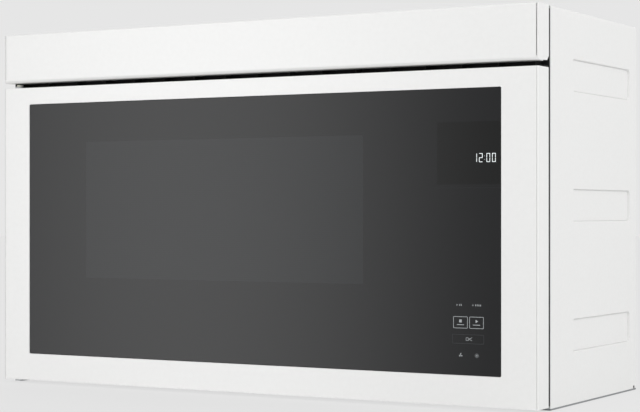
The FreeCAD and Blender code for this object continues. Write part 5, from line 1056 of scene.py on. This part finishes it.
def front_glass(glass):
    """Full front pane with rounded corners and a polished edge."""
    pane = block("front_glass", *spans("door_glass"))
    rounded(pane, running("y"), GLASS_CORNER, segments=5)
    softened(pane, GLASS_EDGE, segments=3, angle=50.0)
    smooth(pane)
    return worn(pane, glass, "door", "door_glass", "door_glass")


def glass_face():
    """Place on Y of the front of the glass."""
    return spans("door_glass")[1][0]


def face_print(name, x, z):
    """Thin plate of print on the front of the glass."""
    return block(name, x, grown((glass_face(), glass_face()), PRINT_THICK), z)


def segment(x, z):
    """One display segment with pointed ends."""
    bar = face_print("segment", x, z)
    rounded(bar, running("y"), SEGMENT * SEGMENT_POINT, segments=1)
    return bar


def digit(left, lit):
    """Seven-segment figure. lit names its segments a to g, from the top clockwise, then the middle."""
    right = left + DIGIT_WIDTH
    low, high = DIGIT_LOW, DIGIT_LOW + DIGIT_HEIGHT
    middle = (low + high) / 2
    across = (left + SEGMENT_GAP, right - SEGMENT_GAP)
    upper = (middle + SEGMENT_GAP, high - SEGMENT_GAP)
    lower = (low + SEGMENT_GAP, middle - SEGMENT_GAP)
    places = {
        "a": (across, (high - SEGMENT, high)),
        "b": ((right - SEGMENT, right), upper),
        "c": ((right - SEGMENT, right), lower),
        "d": (across, (low, low + SEGMENT)),
        "e": ((left, left + SEGMENT), lower),
        "f": ((left, left + SEGMENT), upper),
        "g": (across, about(middle, SEGMENT)),
    }
    return [segment(*places[name]) for name in lit]


def clock_digits(light):
    """Plain figures of a clock that stands at twelve."""
    bars = []
    for left, lit in zip(DIGIT_LEFTS, ("bc", "abged", "abcdef", "abcdef")):
        bars += digit(left, lit)
    for share in COLON_SHARES:
        bars.append(segment(about(COLON_X, SEGMENT), about(DIGIT_LOW + DIGIT_HEIGHT * share, SEGMENT)))
    return worn(joined("clock_digits", bars), light, "door", "display_black")


def outline_print(name, x, z, line):
    """Thin rectangular line with rounded corners."""
    outer, inner = BOX_CORNERS
    ring = face_print(name, x, z)
    rounded(ring, running("y"), outer, segments=3)
    middle = block("inside", grown(x, -line), about(glass_face(), 2 * PAST), grown(z, -line))
    rounded(middle, running("y"), inner, segments=2)
    return cut(ring, middle)


def turned(mark, x, z, turn):
    """Turns a printed mark on the glass about a point, in degrees."""
    centre = (x * MM, glass_face() * MM, z * MM)
    pick(mark, "VERT", lambda corner: True)
    bpy.ops.transform.rotate(value=math.radians(turn), orient_axis="Y", center_override=centre)
    done()
    return mark


def bar_print(x, z, turn=0.0):
    """Short printed bar, turned about its middle in degrees."""
    bar = face_print("bar", x, z)
    rounded(bar, running("y"), min(x[1] - x[0], z[1] - z[0]) * BAR_ROUND, segments=2)
    return turned(bar, sum(x) / 2, sum(z) / 2, turn) if turn else bar


def plus_mark(x, z, bars):
    """Plus sign with a number of short bars after it."""
    left = x - PLUS_SHIFT
    marks = [bar_print(about(left, PLUS_ARM), about(z, PLUS_LINE)),
             bar_print(about(left, PLUS_LINE), about(z, PLUS_ARM))]
    width, height = TALLY_BAR
    for index in range(bars):
        marks.append(bar_print(about(left + TALLY_SHIFT + index * TALLY_STEP, width), about(z, height)))
    return marks


def underline(x, z):
    """Short line under a key's sign."""
    return bar_print(about(x, UNDERLINE[0]), about(z - UNDERLINE_DROP, UNDERLINE[1]))


def stop_mark(x, z):
    """Small square over a short line."""
    return [face_print("stop", about(x, STOP_SIDE), about(z + MARK_RISE, STOP_SIDE)), underline(x, z)]


def go_mark(x, z):
    """Triangle that points right over a short line."""
    high = z + MARK_RISE
    arrow = drum("go", "Y", (x, glass_face(), high), GO_RADIUS, PRINT_THICK * 2, sides=3)
    return [turned(arrow, x, high, 90), underline(x, z)]


def open_mark(x, z):
    """Door leaf that stands open: a tall outline and two slanted bars."""
    right, rise = SWING_PLACE
    long, thin = SWING_BAR
    marks = [outline_print("leaf", about(x + LEAF_SHIFT, LEAF[0]), about(z, LEAF[1]), LEAF_LINE)]
    for way in (1, -1):
        marks.append(bar_print(about(x + right, long), about(z + way * rise, thin), way * SWING_TURN))
    return marks


def fan_mark(x, z):
    """Three slanted blades about a hub."""
    marks = [bar_print(about(x, FAN_HUB), about(z, FAN_HUB))]
    for index in range(3):
        turn = math.radians(90 + index * 120)
        centre = (x + FAN_REACH * math.cos(turn), z + FAN_REACH * math.sin(turn))
        marks.append(bar_print(about(centre[0], FAN_BLADE[0]), about(centre[1], FAN_BLADE[1]),
                               60.0 - index * 120))
    return marks


def light_mark(x, z):
    """Disc with rays."""
    marks = [drum("sun", "Y", (x, glass_face(), z), SUN_RADIUS, PRINT_THICK * 2, sides=20)]
    for index in range(8):
        turn = math.radians(index * 45)
        centre = (x + SUN_REACH * math.cos(turn), z + SUN_REACH * math.sin(turn))
        marks.append(bar_print(about(centre[0], SUN_RAY[0]), about(centre[1], SUN_RAY[1]), -index * 45.0))
    return marks


def key_prints(bright, dim):
    """Boxes and plain marks of the touch keys."""
    boxes = [outline_print("box", x, z, KEY_LINE) for x, z in KEY_BOXES]
    worn(joined("key_boxes", boxes), bright, "door", "door_glass")
    worn(outline_print("wide_key", *WIDE_KEY, WIDE_LINE), dim, "door", "door_glass")
    marks = plus_mark(UPPER_MARKS[0], UPPER_MARK_Z, 2) + plus_mark(UPPER_MARKS[1], UPPER_MARK_Z, 4)
    middles = [(sum(x) / 2, sum(z) / 2) for x, z in KEY_BOXES]
    marks += stop_mark(*middles[0]) + go_mark(*middles[1]) + open_mark(*WIDE_MARK)
    marks += fan_mark(LOWER_MARKS[0], LOWER_MARK_Z) + light_mark(LOWER_MARKS[1], LOWER_MARK_Z)
    worn(joined("key_marks", marks), bright, "door", "door_glass")


# ---- Small pieces ----
def screw_master():
    """Countersunk screw with a cross recess, pointing up Z, its face just under the origin."""
    top = -SCREW_SUNK
    head = drum("screw_master", "Z", (0, 0, top - SCREW_DEEP / 2), SCREW_HEAD, SCREW_DEEP, sides=28)
    for wide, long in (CROSS, CROSS[::-1]):
        cut(head, block("slot", about(0, wide), about(0, long), (top - CROSS_DEEP, PAST)))
    softened(head, SCREW_EDGE, angle=50.0)
    smooth(head)
    return head


def screws(name, master, places, way, finish, body, slot):
    """Copies of the screw, each with its own mesh, that point one way."""
    turn = Vector((0, 0, 1)).rotation_difference(Vector(way)).to_matrix().to_4x4()
    copies = []
    for index, place in enumerate(places):
        piece = bpy.data.objects.new("screw", master.data.copy())
        spin = Matrix.Rotation(math.radians(SCREW_TURN * index), 4, "Z")
        move = Matrix.Translation([value * MM for value in place])
        piece.data.transform(move @ turn @ spin)
        bpy.context.scene.collection.objects.link(piece)
        copies.append(piece)
    return worn(joined(name, copies), finish, body, slot)


def hole_field(name, place, counts, finish):
    """Field of round holes in a side wall of the cavity, as shallow dark discs painted with the shade of the
    holes' depth.
    """
    hole = drum(name, "X", place, HOLE_RADIUS, HOLE_DISC, sides=12)
    repeated(hole, counts[0], (0, HOLE_PITCH, 0))
    repeated(hole, counts[1], (0, 0, HOLE_PITCH))
    return worn(hole, finish, "housing", "cavity_enamel")


def filter_layer(name, node, lift, columns, finish, body):
    """Layer of expanded mesh in a grease filter's frame."""
    x, y, z = spans(node)
    x, y = grown(x, -MESH_MARGIN), grown(y, -MESH_MARGIN)
    bpy.ops.object.select_all(action="DESELECT")
    bpy.ops.mesh.primitive_grid_add(x_subdivisions=columns, y_subdivisions=int(columns * MESH_ROWS), size=1,
                                    location=(sum(x) / 2 * MM, sum(y) / 2 * MM, (z[0] + lift) * MM))
    bpy.context.object.scale = ((x[1] - x[0]) * MM, (y[1] - y[0]) * MM, 1)
    mesh = settled(name)
    pick(mesh, "FACE", lambda face: True)
    bpy.ops.mesh.poke()
    bpy.ops.mesh.tris_convert_to_quads(face_threshold=math.pi, shape_threshold=math.pi)
    done()
    modified(mesh, "WIREFRAME", thickness=MESH_STRAND * MM, use_even_offset=False, use_replace=True)
    return worn(mesh, finish, body, "filter_aluminium")


def crisp(node, width, finish, body, slot, sinks):
    """Stands for a solid of the same form, with its edges broken, its rounds shaded smooth and
    its screw holes cut. Each sink is an axis and a place."""
    piece = whole_copy("finished_" + node, node)
    for axis, place in sinks:
        cut(piece, drum("sink", axis, place, SINK_RADIUS, SINK_DEEP, sides=24))
    if width:
        softened(piece, width)
    smooth(piece)
    return worn(piece, finish, body, slot, node)


# ---- Assembly ----
powder = powder_coated_steel()
gloss = gloss_white_enamel()
zinc = galvanised_steel()
plated = zinc_plated_steel()
black = black_abs()
hole_shade = hole_depth_shade()
bare_steel = ground_steel()
satin = satin_grey_paint()
wire = filter_wire()
bright_print = key_print("pale_key_print", "#B9BDBF", "#A6AAAC")
dim_print = key_print("dim_key_print", "#3A3D40", "#323538")

SLOT_FINISHES = {
    "cabinet_white": powder, "fascia_white": gloss, "door_white": gloss, "base_grey": grey_powder_coat(),
    "zinc_sheet": zinc, "frame_grey": satin, "cavity_enamel": speckled_enamel(),
    "ceramic_floor": cast_ceramic(), "antenna_aluminium": rolled_aluminium(), "motor_steel": plated,
    "louver_black": matt_black_abs_and_gap_shade(), "hinge_steel": cold_rolled_steel(), "nylon_white": natural_nylon(),
    "door_glass": black_printed_glass(), "pan_enamel": satin, "choke_black": gloss_black_abs(),
    "inner_glass": clear_glass(), "screen_black": perforated_black_steel(),
    "board_black": epoxy_board("black_epoxy_board", "#1A1C1D", "#26292A"), "display_black": black,
    "rubber_black": black_rubber(), "latch_grey": grey_nylon(), "spring_steel": bare_steel,
    "switch_black": black, "switch_red": red_abs(), "lever_steel": bare_steel,
    "plunger_steel": bare_steel, "magnetron_metal": plated, "core_steel": laminated_core(),
    "winding_copper": wound_copper(), "can_aluminium": drawn_aluminium(), "fan_white": white_polypropylene(),
    "scroll_sheet": zinc, "wheel_black": black, "charcoal": charcoal_granules(),
    "filter_aluminium": filter_frame_aluminium(), "lens_glass": ribbed_lens(), "lamp_case": plated,
    "board_green": epoxy_board("green_epoxy_board", "#1E5A38", "#2F7A4E"),
}

# Width in millimetres of the broken edge on each solid whose own form stays.
BROKEN_EDGES = {
    "rear_panel": 0.2, "base_plate": 0.3, "front_frame": 0.25, "cavity_liner": 0.3, "ceramic_floor": 0.8,
    "door_inner_pan": 0.3, "choke_cover": 0.4, "vent_louver": 0.2, "hinge_brackets": 0.3, "hinge_blocks": 0.4,
    "hinge_bushes": 0.3, "door_bumpers": 0.6, "latch_key": 0.3, "latch_board": 0.3, "interlock_switches": 0.4,
    "switch_plungers": 0.3, "opener_lever": 0.2, "opener_solenoid": 0.5, "solenoid_plunger": 0.3,
    "stirrer": 0.3, "stirrer_motor": 0.6, "waveguide": 0.4, "magnetron_tube": 0.2, "magnetron_yoke": 0.3,
    "transformer_core": 0.4, "transformer_windings": 1.2, "capacitor": 0.3, "capacitor_clamp": 0.2,
    "fan_shroud": 0.4, "fan_motor": 0.5, "fan_wheel": 0.2, "blower_housings": 0.2, "blower_motor": 0.8,
    "vent_wheels": 0.0, "charcoal_filter": 0.5, "cooktop_lamp_lenses": 0.2, "cooktop_lamps": 0.6,
    "exhaust_cover": 0.2, "cabinet_bolt_nuts": 0.3, "cord_grommet": 0.5, "power_board": 0.3,
    "line_filter_board": 0.3, "thermal_cutouts": 0.4, "cavity_lamp": 0.4, "inner_glass": 0.3,
    "touch_board": 0.2, "display_module": 0.5, "grease_filter_left": 0.4, "grease_filter_right": 0.4,
    "inner_deck": 0.2, "blower_deck": 0.2, "air_duct": 0.2,
}
SCREW_SETS = {
    "rear_panel": ("Y", (0, 1, 0), REAR_SCREWS), "base_plate": ("Z", (0, 0, -1), BASE_SCREWS),
    "front_frame": ("Y", (0, -1, 0), FRAME_SCREWS), "door_inner_pan": ("Y", (0, 1, 0), PAN_SCREWS),
}

slot_of = {part["node"]: part["material_slot"] for part in frame["record"]["subparts"]}
body_of = {node: body for body, group in frame["record"]["behaviour"]["bodies"].items() for node in group}
for node, solid in nodes.items():
    for place in solid.material_slots:
        place.material = SLOT_FINISHES[slot_of[node]]

cabinet_wrap(powder)
fascia(gloss)
for side in (-1, 1):
    fascia_cap(side, gloss)
# Dark pieces that paint the shade in the gaps at the upper hinge and round the door
hinge_gap_shade(SLOT_FINISHES["louver_black"])
gap_shade_strips(SLOT_FINISHES["louver_black"])
pin_head(SLOT_FINISHES["nylon_white"])
door_skin(gloss)
glass_rebate(gloss)
front_glass(SLOT_FINISHES["door_glass"])
clock_digits(lit_segment())
key_prints(bright_print, dim_print)

for node, width in BROKEN_EDGES.items():
    slot = slot_of[node]
    axis, way, places = SCREW_SETS.get(node, ("Z", (0, 0, 1), ()))
    crisp(node, width, SLOT_FINISHES[slot], body_of[node], slot, [(axis, place) for place in places])
master = screw_master()
for node, (axis, way, places) in SCREW_SETS.items():
    screws(node + "_screws", master, places, way, bare_steel, body_of[node], slot_of[node])
bpy.data.objects.remove(master)
for name, (place, counts) in GRILLES.items():
    hole_field(name, place, counts, hole_shade)
for side in ("left", "right"):
    node = "grease_filter_" + side
    filter_layer("front_mesh_" + side, node, *FRONT_LAYER, wire, body_of[node])
    filter_layer("back_mesh_" + side, node, *BACK_LAYER, SLOT_FINISHES["filter_aluminium"], body_of[node])

studio()
floor()
lamp("front_light", *FRONT_LAMP)
lamp("side_light", *SIDE_LAMP)
camera()
